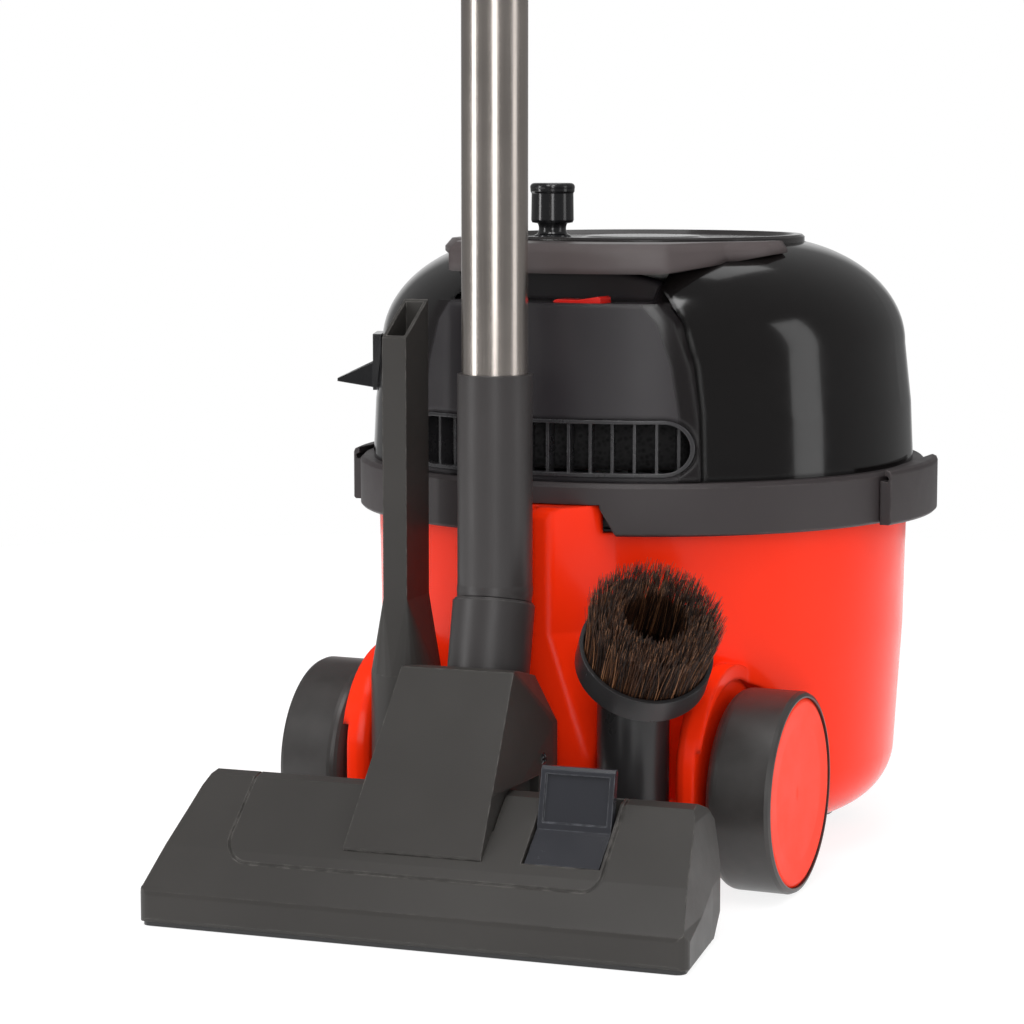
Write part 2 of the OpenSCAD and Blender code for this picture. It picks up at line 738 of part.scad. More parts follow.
// Vertical bars in a raised rim that fills the grille window
module exhaust_grille() color(charcoal) {
    intersection() {
        difference() {
            window(0, -200, -60);
            window(-1.8, -201, -59);
        }
        ring_sector(panel_r + 1.2, panel_r - head_wall - 1, 150, 260);
    }
    intersection() {
        window(-1, -200, -60);
        for (i = [-7:6])
            rotate([0, 0, -90 + (i + 0.5) * bar_pitch]) box(panel_r - 9, panel_r - 0.8, -bar_t / 2,
                bar_t / 2, 180, 260);
    }
}

// Bar over the hand pocket, blended into the shoulders of the dome
module handle_bar() color([0.30, 0.27, 0.26]) {
    span = 26;
    bevel = 4.5;
    plan = mirrored(concat([[0, -40], [crank_r + 8, -40]],
        arc(0, 0, crank_r + 21, -32, -46, 4), arc(0, 0, handle_r, -90 + span, -90, 5)));
    difference() {
        union() {
            translate([0, 0, handle_z]) linear_extrude(height = dome_top_z - handle_z - bevel)
                polygon(plan);
            translate([0, 0, dome_top_z - bevel - eps]) linear_extrude(height = bevel - 0.3,
                scale = 0.965) polygon(plan);
        }
        dome(-joint_gap);
        cylinder(r = crank_r + 8, h = 400);
        // the ends rise away from the pocket
        sides() prism_xz([[pocket_hw + 8, handle_z - 1], [pocket_hw + 8, handle_z], [95, dome_top_z - 6],
            [150, dome_top_z - 6], [150, handle_z - 1]], -200, 0);
    }
}

// Band round the foot of the head, notched over the spine, with the lugs of the side clips
module rim_band() color(charcoal) {
    notch = [[notch_hw, spine_top_z + pass_gap], [notch_hw + 9.5, band_foot_z - 1],
        [notch_hw + 9.5, band_foot_z - 5]];
    difference() {
        union() {
            rotate_extrude() polygon([[tub_top_r + pass_gap, band_foot_z], [band_r - 1, band_foot_z],
                [band_r, band_foot_z + 1], [band_r, band_top_z - 2], [band_r - 2, band_top_z],
                    [dome_r - 2, band_top_z],
                [dome_r - 2, band_top_z - 2], [base_r - 2, band_top_z - 5],
                    [base_r - 2, base_z + 4 + joint_gap],
                [base_r + joint_gap, base_z + 4 + joint_gap], [base_r + joint_gap, tub_top_z + 1.5],
                [tub_top_r + pass_gap, tub_top_z + 1.5]]);
        }
        prism_xz(mirrored(notch), -200, -120);
        box(-notch_hw - 1, notch_hw + 1, -200, -tub_top_r - pass_gap + 0.5, band_foot_z - 1,
            spine_top_z + pass_gap);
        // recess, pin hole and foot notch of the side clips
        sides() {
            box(clip_pivot_x - knuckle_r - seat_gap, 170, -knuckle_hw - pass_gap, knuckle_hw + pass_gap,
                clip_pivot_z - knuckle_r - seat_gap, 210);
            rod_y(clip_pin_r + joint_gap / 2, -clip_pin_hw - joint_gap, clip_pin_hw + joint_gap,
                clip_pivot_x, clip_pivot_z);
            box(100, 170, -catch_hw - 1, catch_hw + 1, 170, tub_top_z + 0.8);
        }
    }
}

base_r = tub_top_r - 3;
base_z = 178;

// Floor of the head that carries the motor
module base_plate() color(black) {
    difference() {
        union() {
            translate([0, 0, base_z]) cylinder(r = base_r, h = 4);
            tube_z(casing_r + 6, casing_r + joint_gap, base_z, base_z + 12);
            screw_spots() translate([0, 0, base_z]) cylinder(r = 5, h = band_top_z - joint_gap - base_z);
        }
        translate([0, 0, base_z - 1]) cylinder(r = 24, h = 20);
        screw_spots() cylinder(r = 2.6, h = band_top_z + 1);
    }
}

module head_seal() color(black)
    tube_z(tub_top_r - 0.5, tub_top_r - tub_wall - 2, tub_top_z + seat_gap, tub_top_z + 1.4);

frame_r = screw_reach - 5.5;

module filter_frame() color(black) {
    tube_z(frame_r, frame_r - 12, base_z - 5, base_z);
}

// Cloth filter that hangs over the bag like a shallow bucket: a side and a floor, sewn together
module filter_cloth() color([0.82, 0.82, 0.80]) {
    top_r = frame_r - 12 - joint_gap;
    z0 = base_z - 34;
    floor_r = top_r - 20;
    rotate_extrude() polygon([[top_r, base_z - joint_gap], [top_r - 12, z0 + 4], [floor_r, z0],
        [floor_r, z0 + 2], [top_r - 14, z0 + 6], [top_r - 3, base_z - joint_gap]]);
    translate([0, 0, z0]) cylinder(r = floor_r - joint_gap, h = 2);
}

outlet_a = 201;
outlet_z = 245;

// Outlet that guides the mains lead out of the side of the head
module cable_outlet() color(black) {
    root = dome_r - 5;
    rotate([0, 0, outlet_a]) difference() {
        union() {
            hull() {
                box(root, root + 2, -13, 13, outlet_z - 8, outlet_z + 7, $fn = 32);
                box(root + 22.5, root + 24.5, -5, 5, outlet_z - 5, outlet_z - 3.4);
            }
            box(root, root + 4.5, -14, 14, outlet_z - 9, outlet_z + 21);
        }
        dome(-joint_gap);
        rod_x(5, 100, root + 6, 0, outlet_z);
        // hollow of the scoop, open to the top
        hull() {
            box(root + 5, root + 7, -9, 9, outlet_z - 5, outlet_z + 10);
            box(root + 17, root + 18, -3, 3, outlet_z - 2.4, outlet_z + 10);
        }
    }
}

// ---------------------------------------------------------------- side clips

clip_pin_r = 1.5;
clip_pin_hw = 28;
knuckle_r = 3;
knuckle_hw = 22;
clip_pivot_x = dome_r + 4;
clip_pivot_z = band_top_z - knuckle_r - joint_gap;
clip_foot_z = tub_top_z - catch_t;
clip_top_z = band_top_z + 1.6;
clip_in_r = band_r + 0.6;
clip_out_r = clip_in_r + clip_t;

// Curved clip over the band, hinged in its top edge, with a foot that holds the bead of the tub
module clip() {
    difference() {
        union() {
            intersection() {
                rotate_extrude() polygon([[clip_in_r, clip_foot_z], [clip_out_r - 1, clip_foot_z],
                    [clip_out_r, clip_foot_z + 1], [clip_out_r, clip_top_z - 2.5],
                        [clip_out_r - 0.7, clip_top_z - 0.8],
                    [clip_out_r - 2.5, clip_top_z], [dome_r - 10, clip_top_z],
                        [dome_r - 10, band_top_z + seat_gap],
                    [clip_in_r, band_top_z + seat_gap]]);
                union() {
                    box(clip_pivot_x - 0.4, 170, -clip_hw, clip_hw, 0, 300);
                    box(100, 170, -clip_hw, clip_hw, 0, clip_pivot_z - 1);
                }
            }
            intersection() {
                tube_z(clip_in_r + 1, catch_r + pass_gap, clip_foot_z, tub_top_z);
                box(100, 170, -catch_hw, catch_hw, 0, 300);
            }
            rod_y(knuckle_r, -knuckle_hw, knuckle_hw, clip_pivot_x, clip_pivot_z);
            box(clip_pivot_x, clip_in_r + 0.5, -knuckle_hw, knuckle_hw, clip_pivot_z - 1.5,
                clip_top_z - 0.5);
        }
        rod_y(clip_pin_r + run_gap, -clip_hw - 1, clip_hw + 1, clip_pivot_x, clip_pivot_z);
    }
}

module clip_right() color(charcoal) clip();
module clip_left() color(charcoal) mirror([1, 0, 0]) clip();
module clip_pins() color(steel)
    sides() rod_y(clip_pin_r, -clip_pin_hw, clip_pin_hw, clip_pivot_x, clip_pivot_z);

module head_screws() color(steel)
    screw_spots() translate([0, 0, base_z - 2.5]) {
        cylinder(r = 4, h = 2.5 - joint_gap);
        cylinder(r = 2, h = 40);
    }

// ---------------------------------------------------------------- cable reel

deck_z0 = shoulder_z;
drum_z0 = deck_z0 + 5;
drum_z1 = handle_z - 0.5;
spindle_r = 8;
disc_z = dome_top_z - 4;
crank_a = 223;

// Deck over the motor with the spindle of the reel, standing on four legs
module reel_deck() color(charcoal) {
    difference() {
        union() {
            translate([0, 0, deck_z0]) cylinder(r = shoulder_r - head_wall - 4, h = 3);
            translate([0, 0, deck_z0]) cylinder(r = spindle_r + 4, h = 5 - seat_gap);
            translate([0, 0, deck_z0]) cylinder(r = spindle_r, h = disc_z - 1 - deck_z0);
            for (a = [20:90:290]) rotate([0, 0, a]) translate([casing_r + 28, 0, base_z + 4 + joint_gap])
                cylinder(r = 6, h = deck_z0 - base_z - 3);
        }
        // cooling slots
        for (a = [0:30:330]) rotate([0, 0, a]) box(70, 84, -3, 3, deck_z0 - 1, deck_z0 + 4);
    }
}

// Drum for the mains lead, drawn empty
module cable_drum() color([0.75, 0.75, 0.72]) {
    difference() {
        union() {
            translate([0, 0, drum_z0]) cylinder(r = flange_r, h = 2.5);
            translate([0, 0, drum_z0]) cylinder(r = drum_hub_r, h = drum_z1 - drum_z0);
            translate([0, 0, drum_z1 - 2.5]) cylinder(r = flange_r, h = 2.5);
        }
        difference() {
            translate([0, 0, drum_z0 - 1]) cylinder(r = drum_hub_r - 3, h = drum_z1 - drum_z0 - 3);
            cylinder(r = spindle_r + 4, h = 400);
        }
        cylinder(r = spindle_r + run_gap, h = 400);
        // lightening windows in both flanges
        for (a = [0:60:300]) rotate([0, 0, a]) translate([(flange_r + drum_hub_r) / 2, 0, 0])
            cylinder(r = 14, h = 400);
    }
}

// Disc that turns with the drum and fills the opening in the head
module crank_disc() color(black) {
    difference() {
        union() {
            rotate_extrude() polygon([[0, disc_z - 3], [crank_r - 1.5, disc_z - 3],
                [crank_r, disc_z - 1.5], [crank_r, disc_z + 4.2],
                [crank_r - 1.4, disc_z + 5.4], [crank_r - 5, disc_z + 5.4],
                    [crank_r - 8, disc_z + 3.2], [34, disc_z + 3.2],
                [30, disc_z + 4.4], [0, disc_z + 5.2]]);
            tube_z(spindle_r + 12, spindle_r + 2, drum_z1 + joint_gap, disc_z);
        }
        translate([0, 0, drum_z1 - 1]) cylinder(r = spindle_r + run_gap, h = disc_z + 1 - drum_z1);
        rotate([0, 0, crank_a]) translate([crank_throw, 0, 0]) cylinder(r = pin_r + run_gap, h = 400);
    }
}

pin_r = 3;
knob_z0 = disc_z + 3.2 + seat_gap;

module knob_pin() color(steel)
    rotate([0, 0, crank_a]) translate([crank_throw, 0, 0]) {
        translate([0, 0, disc_z - 4.5]) cylinder(r = pin_r, h = knob_top_z - 6 - disc_z + 4.5);
        translate([0, 0, disc_z - 4.5]) cylinder(r = pin_r + 2, h = 1.5 - joint_gap);
    }

// Knob that spins on its pin: flared foot, waist, tall cap with a rolled lip
module crank_knob() color(black)
    rotate([0, 0, crank_a]) translate([crank_throw, 0, 0]) difference() {
        rotate_extrude() polygon(concat([[0, knob_z0], [knob_r - 1.5, knob_z0],
            [knob_r - 2, knob_z0 + 1.5]],
            arc(knob_r + 0.5, knob_z0 + 5.2, 5, 215, 150, 5),
            [[knob_r - 1, knob_z0 + 8.2], [knob_r - 0.4, knob_z0 + 9.5],
                [knob_r - 0.6, knob_top_z - 5.5], [knob_r, knob_top_z - 4.4]],
            arc(knob_r - 2, knob_top_z - 2.2, 2.2, -20, 90, 6), [[0, knob_top_z]]));
        translate([0, 0, knob_z0 - 1]) cylinder(r = pin_r + run_gap, h = knob_top_z - 4 - knob_z0);
    }

// ---------------------------------------------------------------- motor

casing_r = 63;
casing_z0 = base_z + 4 + joint_gap;
casing_z1 = shoulder_z - 6;
fan_z0 = casing_z0 + 4;
fan_z1 = fan_z0 + 18;
shaft_r = 4;

// Casing of fan and motor, with the diffuser plate and the two bearing seats
module motor_casing() color([0.55, 0.55, 0.55]) {
    difference() {
        translate([0, 0, casing_z0]) cylinder(r = casing_r, h = casing_z1 - casing_z0);
        difference() {
            translate([0, 0, casing_z0 - 1]) cylinder(r = casing_r - 2.5, h = casing_z1 - casing_z0 - 2);
            tube_z(casing_r, 22, casing_z0, casing_z0 + 2);
            difference() {
                translate([0, 0, fan_z1 + 3]) cylinder(r = casing_r, h = 3);
                for (a = [0:40:320]) rotate([0, 0, a]) translate([45, 0, 0]) cylinder(r = 9, h = 400);
            }
            translate([0, 0, casing_z1 - 12]) cylinder(r = shaft_r + 6, h = 12);
        }
        cylinder(r = shaft_r + run_gap, h = casing_z1 - 3);
        for (a = [0:40:320]) rotate([0, 0, a]) translate([casing_r - 8, 0, casing_z1 - 22]) rotate(
            [0, 90, 0]) cylinder(r = 5, h = 20);
    }
}

module motor_stator() color([0.60, 0.35, 0.18]) {
    z0 = fan_z1 + 6 + joint_gap;
    difference() {
        tube_z(casing_r - 2.5 - joint_gap, 27, z0, z0 + 24);
        for (a = [0:90:270]) rotate([0, 0, a]) box(44, 80, -16, 16, z0 - 1, z0 + 25);
    }
}

// Fan with curved blades between two plates
module impeller() color([0.75, 0.76, 0.78]) {
    blade_r = impeller_r * 0.62;
    difference() {
        union() {
            tube_z(impeller_r, 21, fan_z0, fan_z0 + 1.2);
            translate([0, 0, fan_z1 - 1.5]) cylinder(r = impeller_r, h = 1.5);
            translate([0, 0, fan_z0 + 3]) cylinder(r = shaft_r + 5, h = fan_z1 - fan_z0 - 3);
            intersection() {
                tube_z(impeller_r - 0.5, shaft_r + 12, fan_z0, fan_z1);
                for (i = [0:blade_n - 1]) rotate([0, 0, 360 * i / blade_n])
                    translate([shaft_r + 12 + blade_r * 0.55, -blade_r * 0.80, fan_z0 + 0.6])
                        intersection() {
                        tube_z(blade_r + 0.6, blade_r - 0.6, 0, fan_z1 - fan_z0 - 1.2);
                        box(-blade_r, blade_r + 1, 0, blade_r + 1, 0, 40);
                    }
            }
        }
        cylinder(r = shaft_r + run_gap, h = 400);
    }
}

module motor_shaft() color(steel) {
    z0 = fan_z1 + 8;
    translate([0, 0, fan_z0 + 2]) cylinder(r = shaft_r, h = casing_z1 - 4 - fan_z0 - 2);
    translate([0, 0, z0]) cylinder(r = 25.5, h = 22);
    translate([0, 0, z0 + 22]) cylinder(r = 11, h = 8);
}

// ---------------------------------------------------------------- wand

module at_tube() translate([wand_x, -wand_reach, 0]) children();
module at_wand() at_tube() rotate([0, 0, tool_yaw]) children();

// Frame of the swivel: its axis runs down along -Z
module at_swivel() at_wand() translate([0, 0, bend_z]) rotate([-bend_a, 0, 0]) children();

bend_swell = 0.3;
spigot_r = 15.6;
air_r = 13.6;
spigot_end = 46;
collar_start = 5;
collar_end = 40;
tube_z0 = sleeve_top_z - tube_seat;

// Sleeve of the wand with its bent foot and the hook that docks in the spine
module wand_sleeve() color(charcoal) {
    difference() {
        union() {
            at_tube() translate([0, 0, bend_z]) cylinder(r = sleeve_r, h = sleeve_top_z - bend_z);
            at_swivel() intersection() {
                sphere(r = sleeve_r + bend_swell);
                box(-50, 50, -50, 50, -collar_start, 50);
            }
            at_swivel() translate([0, 0, -collar_start]) cylinder(r = sleeve_r, h = collar_start + 1);
            at_swivel() translate([0, 0, -spigot_end]) cylinder(r = spigot_r, h = spigot_end);
            // hook: a stem through the slot and a wider plate behind it
            at_tube() {
                box(-slot_hw + pass_gap, slot_hw - pass_gap, sleeve_r - 3, spine_front + lip_t + 4,
                    hook_z0, hook_z0 + hook_h);
                box(-slot_hw - hook_side, slot_hw + hook_side, spine_front + lip_t + pass_gap,
                    spine_front + lip_t + 4.5,
                    hook_z0, hook_z0 + hook_h);
            }
        }
        at_tube() translate([0, 0, tube_z0 - seat_gap]) cylinder(r = tube_r + run_gap, h = 200);
        at_tube() translate([0, 0, bend_z]) cylinder(r = air_r, h = 200);
        at_swivel() sphere(r = air_r + bend_swell);
        at_swivel() translate([0, 0, -100]) cylinder(r = air_r, h = 100);
    }
}

// Steel tube with a rolled top end
module wand_tube() color(steel)
    at_tube() translate([0, 0, tube_z0]) difference() {
        cylinder(r = tube_r, h = tube_len);
        translate([0, 0, -1]) cylinder(r = tube_r - tube_wall, h = tube_len + 2);
    }

module swivel_collar() color(charcoal)
    at_swivel() difference() {
        union() {
            tube_z(collar_r - 0.8, spigot_r + run_gap, -collar_start - 2 - seat_gap,
                -collar_start - seat_gap);
            tube_z(collar_r, spigot_r + run_gap, -collar_end - 5, -collar_start - 1 - seat_gap);
        }
    }

// ---------------------------------------------------------------- floor tool

// Frame of the floor tool: X across, Y back from the front edge, Z up
module at_nozzle() at_wand() translate([tool_shift, -nozzle_reach, 0]) children();

function deck_height(v) = lip_h + (crest_h - lip_h) * v / crest_d;

neck_top_hw = 28.4;
neck_top_x = 1;
neck_top_z = bend_z - 33;
cheek_hw = 30;
cheek_d = nozzle_reach + 6;
cheek_z = crest_h + 2;
neck_front_d = 24.5;
neck_top_d = 69.6;
neck_cut_hw = neck_hw + pass_gap;

// Wedge shaped neck: flat front, round back, barrel across its foot
module neck_housing() color(charcoal) {
    duct_a = atan2(nozzle_reach - (collar_end + 6) * sin(bend_a) - pivot_d,
        bend_z - (collar_end + 6) * cos(bend_a) - pivot_z);
    difference() {
        hull($fn = 32) {
            at_swivel() translate([0, 0, -collar_end - 22]) cylinder(r = collar_r + 1.6, h = 24, $fn = 32);
            at_nozzle() {
                translate([neck_top_x, 0, 0])
                    box(-neck_top_hw, neck_top_hw, neck_top_d, neck_top_d + 3, crest_h + 40, neck_top_z);
                translate([-tool_shift, 0, 0]) box(-cheek_hw, cheek_hw, cheek_d - 6, cheek_d, cheek_z,
                    cheek_z + 22);
                translate([neck_x, 0, 0]) {
                    rod_x(barrel_r, -neck_hw, neck_hw, pivot_d, pivot_z, $fn = 48);
                    box(-neck_hw, neck_hw, neck_front_d, neck_front_d + 1.5,
                        deck_height(neck_front_d) - 4, deck_height(neck_front_d) + 3);
                }
            }
        }
        // flanks step in where they stand in the trough of the floor tool
        at_nozzle() translate([neck_x, 0, 0]) for (side = [-1, 1])
            box(side * (neck_hw + 10 - joint_gap) - 10, side * (neck_hw + 10 - joint_gap) + 10, -20,
                nozzle_d + 8, -10, cheek_z);
        // room for the deck under the front skirt
        at_nozzle() translate([neck_x, 0, 0]) difference() {
            box(-60, 60, -20, pivot_d, -10, pivot_z);
            rod_x(barrel_r, -61, 61, pivot_d, pivot_z);
        }
        at_nozzle() translate([neck_x, 0, 0])
            prism_yz([[-20, 0], [pivot_d - barrel_r, 0],
                [pivot_d - barrel_r, deck_height(pivot_d - barrel_r) + pass_gap + 1],
                [20, deck_height(20) + pass_gap + 1], [-20, deck_height(20) + pass_gap]], -60, 60);
        at_swivel() translate([0, 0, -collar_end]) cylinder(r = 80, h = 90);
        at_swivel() translate([0, 0, -collar_end - 5 - joint_gap]) cylinder(r = collar_r + joint_gap,
            h = 10);
        at_swivel() translate([0, 0, -spigot_end - 2]) cylinder(r = spigot_r + 1, h = 10);
        // air duct from the swivel down into the barrel, open below
        at_nozzle()
            translate([-tool_shift, nozzle_reach - (spigot_end + 1) * sin(bend_a),
                bend_z - (spigot_end + 1) * cos(bend_a)])
            rotate([-duct_a, 0, 0]) translate([0, 0, -62]) cylinder(r = air_r, h = 62);
        at_nozzle() translate([neck_x, 0, 0]) {
            rod_x(barrel_r - 5, -22, 22, pivot_d, pivot_z);
            box(-22, 22, pivot_d - 12, pivot_d + 12, pivot_z - barrel_r - 5, pivot_z - 8);
            rod_x(pivot_pin_r + run_gap, -neck_hw - 1, -neck_hw + 10, pivot_d, pivot_z);
            rod_x(pivot_pin_r + run_gap, neck_hw - 10, neck_hw + 1, pivot_d, pivot_z);
        }
    }
}

pivot_pin_r = 4;

module pivot_pins() color(steel)
    at_nozzle() translate([neck_x, 0, 0]) for (side = [-1, 1])
        rod_x(pivot_pin_r, side * (neck_hw + 0.5) - 8, side * (neck_hw + 0.5) + 8, pivot_d, pivot_z);

sole_t = 2;
sole_d = 60;
heel_h = 24;
slot_v0 = 5.5;
slot_v1 = 11.5;
back_slot_v0 = 46;
back_slot_v1 = 52;
strip_hw = nozzle_w / 2 - 15;
arm_x = strip_hw - 5;
mouth_hw = strip_hw - 12;
arm_z = sole_t + strip_drop + seat_gap;
carrier_top_z = arm_z + 2.5;
mouth_v0 = 15;
mouth_v1 = 34;

function nozzle_plan(inset) = mirrored(concat(
    [[0, inset]], arc(nozzle_w / 2 - nozzle_corner_r, nozzle_corner_r, nozzle_corner_r - inset, -90, -5, 5),
    [[nozzle_w / 2 - 4 - inset, crest_d - 4]],
    arc(nozzle_w / 2 - 20, nozzle_d - 16, 16 - inset, 12, 90, 6)));

module nozzle_solid() {
    bulge = 1.3;
    side = concat([[1.2, sole_t + joint_gap], [0, 4], [0, lip_h - 3.5], [0.6, lip_h - 1.4],
        [2.4, lip_h + 0.4],
        [crest_d / 3, deck_height(crest_d / 3) + bulge], [crest_d * 2 / 3, deck_height(crest_d * 2 / 3)
            + bulge],
        [crest_d - 4, crest_h - 1.2], [crest_d + 3, crest_h], [nozzle_d - 9, crest_h - 4],
            [nozzle_d - 2, crest_h - 12]],
        [[nozzle_d, crest_h - 20], [nozzle_d, heel_h], [sole_d, sole_t + joint_gap]]);
    face = mirrored([[nozzle_w / 2 + 1, 0], [nozzle_w / 2, lip_h - 4], [nozzle_w / 2 - 2.2, lip_h + 1],
        [nozzle_w / 2 - side_draft + 3, crest_h - 6], [nozzle_w / 2 - side_draft, crest_h + 1]]);
    intersection() {
        prism_yz(side, -160, 160);
        translate([0, 0, 1]) linear_extrude(height = 80) polygon(nozzle_plan(0));
        prism_xz(face, -1, 100);
    }
}

pedal_fold = [45, 51];
pedal_pivot = [45.5, 46];
pedal_pin_r = 1.8;

// Slots of the two bristle strips, from z0 to z1
module strip_slots(z0, z1) {
    box(-strip_hw - pass_gap, strip_hw + pass_gap, slot_v0 - pass_gap, slot_v1 + pass_gap, z0, z1);
    box(-strip_hw - pass_gap, strip_hw + pass_gap, back_slot_v0 - pass_gap, back_slot_v1 + pass_gap,
        z0, z1);
}

// Body of the floor tool: low front lip, rising deck, trough for the neck and slot for the pedal
module nozzle_body() color(charcoal)
    at_nozzle() difference() {
        nozzle_solid();
        translate([neck_x, 0, 0]) {
            rod_x(barrel_r + pass_gap, -neck_cut_hw, neck_cut_hw, pivot_d, pivot_z);
            box(-neck_cut_hw, neck_cut_hw, pivot_d - barrel_r - pass_gap, 100, pivot_z, 100);
            box(-neck_cut_hw, neck_cut_hw, pivot_d, 100, pivot_z - barrel_r - pass_gap, 100);
            for (side = [-1, 1])
                rod_x(pivot_pin_r + run_gap, side * neck_cut_hw - 9, side * neck_cut_hw + 9, pivot_d,
                    pivot_z);
            box(-22, 22, mouth_v1 - 4, pivot_d, 1, 17);
        }
        // suction mouth and the slots of the bristle frame
        box(-mouth_hw, mouth_hw, mouth_v0, mouth_v1, 0, 14);
        strip_slots(0, carrier_top_z + pass_gap);
        for (side = [-1, 1])
            box(side * arm_x - 4 - pass_gap, side * arm_x + 4 + pass_gap, slot_v0, back_slot_v1, 0,
                carrier_top_z + pass_gap);
        // slot of the pedal and the seat of its pin
        translate([pedal_x, 0, 0]) {
            prism_yz([[25.5, 90], [25.5, deck_height(25.5) - 6], [34, 27], [crest_d + 4, 27],
                [crest_d + 4, 90]],
                -pedal_w / 2 - pass_gap - 0.5, pedal_w / 2 + pass_gap + 0.5);
            rod_x(pedal_pin_r + run_gap, -pedal_w / 2 - 6, pedal_w / 2 + 6, pedal_pivot[0], pedal_pivot[1]);
        }
        // groove round the inset top panel
        intersection() {
            difference() {
                nozzle_solid();
                translate([0, 0, -0.9]) nozzle_solid();
            }
            linear_extrude(height = 100) difference() {
                panel_plan(0);
                panel_plan(1.1);
            }
        }
    }

module panel_plan(inset) {
    x0 = -99;
    x1 = 89;
    polygon(concat([[x1 - inset, 100]], arc(x1 - 8, 15 + 8, 8 - inset, 0, -90, 5), arc(x0 + 14,
        15 + 14, 14 - inset, 270, 180, 6),
        [[x0 + inset, 100]]));
}

// Sole plate with the mouth and the slots of the bristle strips
module sole_plate() color(steel)
    at_nozzle() difference() {
        intersection() {
            linear_extrude(height = sole_t) polygon(nozzle_plan(1.5));
            box(-200, 200, 0, sole_d, -1, 5);
        }
        box(-mouth_hw, mouth_hw, mouth_v0, mouth_v1, -1, 5);
        strip_slots(-1, 5);
    }

// Frame that carries both bristle strips, drawn raised
module strip_carrier() color(black)
    at_nozzle() {
        box(-strip_hw, strip_hw, slot_v0, slot_v1, strip_drop + 0.6, carrier_top_z);
        box(-strip_hw, strip_hw, back_slot_v0, back_slot_v1, strip_drop + 0.6, carrier_top_z);
        for (side = [-1, 1])
            box(side * arm_x - 4, side * arm_x + 4, slot_v0 + 1, back_slot_v1 - 1, arm_z, carrier_top_z);
    }

module strip_bristles() color([0.25, 0.20, 0.16])
    at_nozzle() {
        box(-strip_hw, strip_hw, slot_v0 + 1.5, slot_v1 - 1.5, 0.6, strip_drop + 0.6);
        box(-strip_hw, strip_hw, back_slot_v0 + 1.5, back_slot_v1 - 1.5, 0.6, strip_drop + 0.6);
    }

// Rocker pedal: a flush front half and a raised back half on one pivot
module pedal() color([0.10, 0.11, 0.14])
    at_nozzle() translate([pedal_x, 0, 0]) difference() {
        union() {
            prism_yz([[27.2, deck_height(27.2) - 0.2], [27.2, deck_height(27.2) - 3.6],
                [28.4, deck_height(28.4) - 4.4],
                [pedal_pivot[0] - 2, pedal_pivot[1] - 4], [pedal_pivot[0] + 3, pedal_pivot[1] - 3.4],
                [pedal_fold[0] + 11, 78], [pedal_fold[0] + 10, 79.4], [pedal_fold[0] + 8, 79.4],
                    [pedal_fold[0] + 6.6, 78],
                pedal_fold], -pedal_w / 2, pedal_w / 2);
            rod_x(4.4, -pedal_w / 2, pedal_w / 2, pedal_pivot[0], pedal_pivot[1]);
        }
        rod_x(pedal_pin_r + run_gap, -60, 60, pedal_pivot[0], pedal_pivot[1]);
        // shallow dish in the raised face
        prism_yz([[pedal_fold[0] - 1, pedal_fold[1] + 3], [pedal_fold[0] + 1.9, pedal_fold[1] + 3],
            [pedal_fold[0] + 7.6, 76], [pedal_fold[0] - 1, 76]], -pedal_w / 2 + 2.5, pedal_w / 2 - 2.5);
    }

module pedal_pin() color(steel)
    at_nozzle() rod_x(pedal_pin_r, pedal_x - pedal_w / 2 - 5, pedal_x + pedal_w / 2 + 5,
        pedal_pivot[0], pedal_pivot[1]);

// ---------------------------------------------------------------- loose tools

tool_z0 = shelf_z + seat_gap;
taper_z = 104;
blade_z = 142;
blade_offset = 2;
mouth_rise = 18;

module crevice_tool() color(charcoal)
    translate([-peg_x - blade_offset, -peg_reach, 0]) {
        wall = tool_r - tool_bore_r;
        difference() {
            union() {
                translate([0, 0, tool_z0]) cylinder(r = tool_r, h = taper_z - tool_z0);
                crevice_taper(tool_r, 0);
                crevice_blade(0, blade_z, crevice_z + mouth_rise);
            }
            translate([0, 0, tool_z0 - 1]) cylinder(r = tool_bore_r, h = 40);
            translate([0, 0, tool_z0 + 30]) cylinder(r = tool_bore_r - 1, h = taper_z - tool_z0 - 30);
            crevice_taper(tool_bore_r - 1, wall);
            crevice_blade(wall, blade_z - eps, 400);
            // slanted mouth
            prism_yz([[-crevice_d / 2, crevice_z], [crevice_d / 2, crevice_z + mouth_rise],
                [crevice_d / 2, 400],
                [-crevice_d / 2 - 1, 400], [-crevice_d / 2 - 1, crevice_z]], -20, 20);
        }
    }

module crevice_blade(inset, z0, z1)
    box(-crevice_w / 2 + inset, crevice_w / 2 - inset, -crevice_d / 2 + inset, crevice_d / 2 - inset,
        z0, z1);

module crevice_taper(r, inset)
    hull() {
        translate([0, 0, taper_z - eps]) cylinder(r = r, h = 0.1, $fn = 32);
        crevice_blade(inset, blade_z - 0.1, blade_z + 0.1);
    }

brush_x = peg_x - 2;
brush_bend_z = 100;
brush_tilt = 42;
brush_turn = 36;
cup_s = 20;

module at_brush() translate([brush_x, -peg_reach, brush_bend_z]) rotate([brush_tilt, 0, brush_turn])
    children();

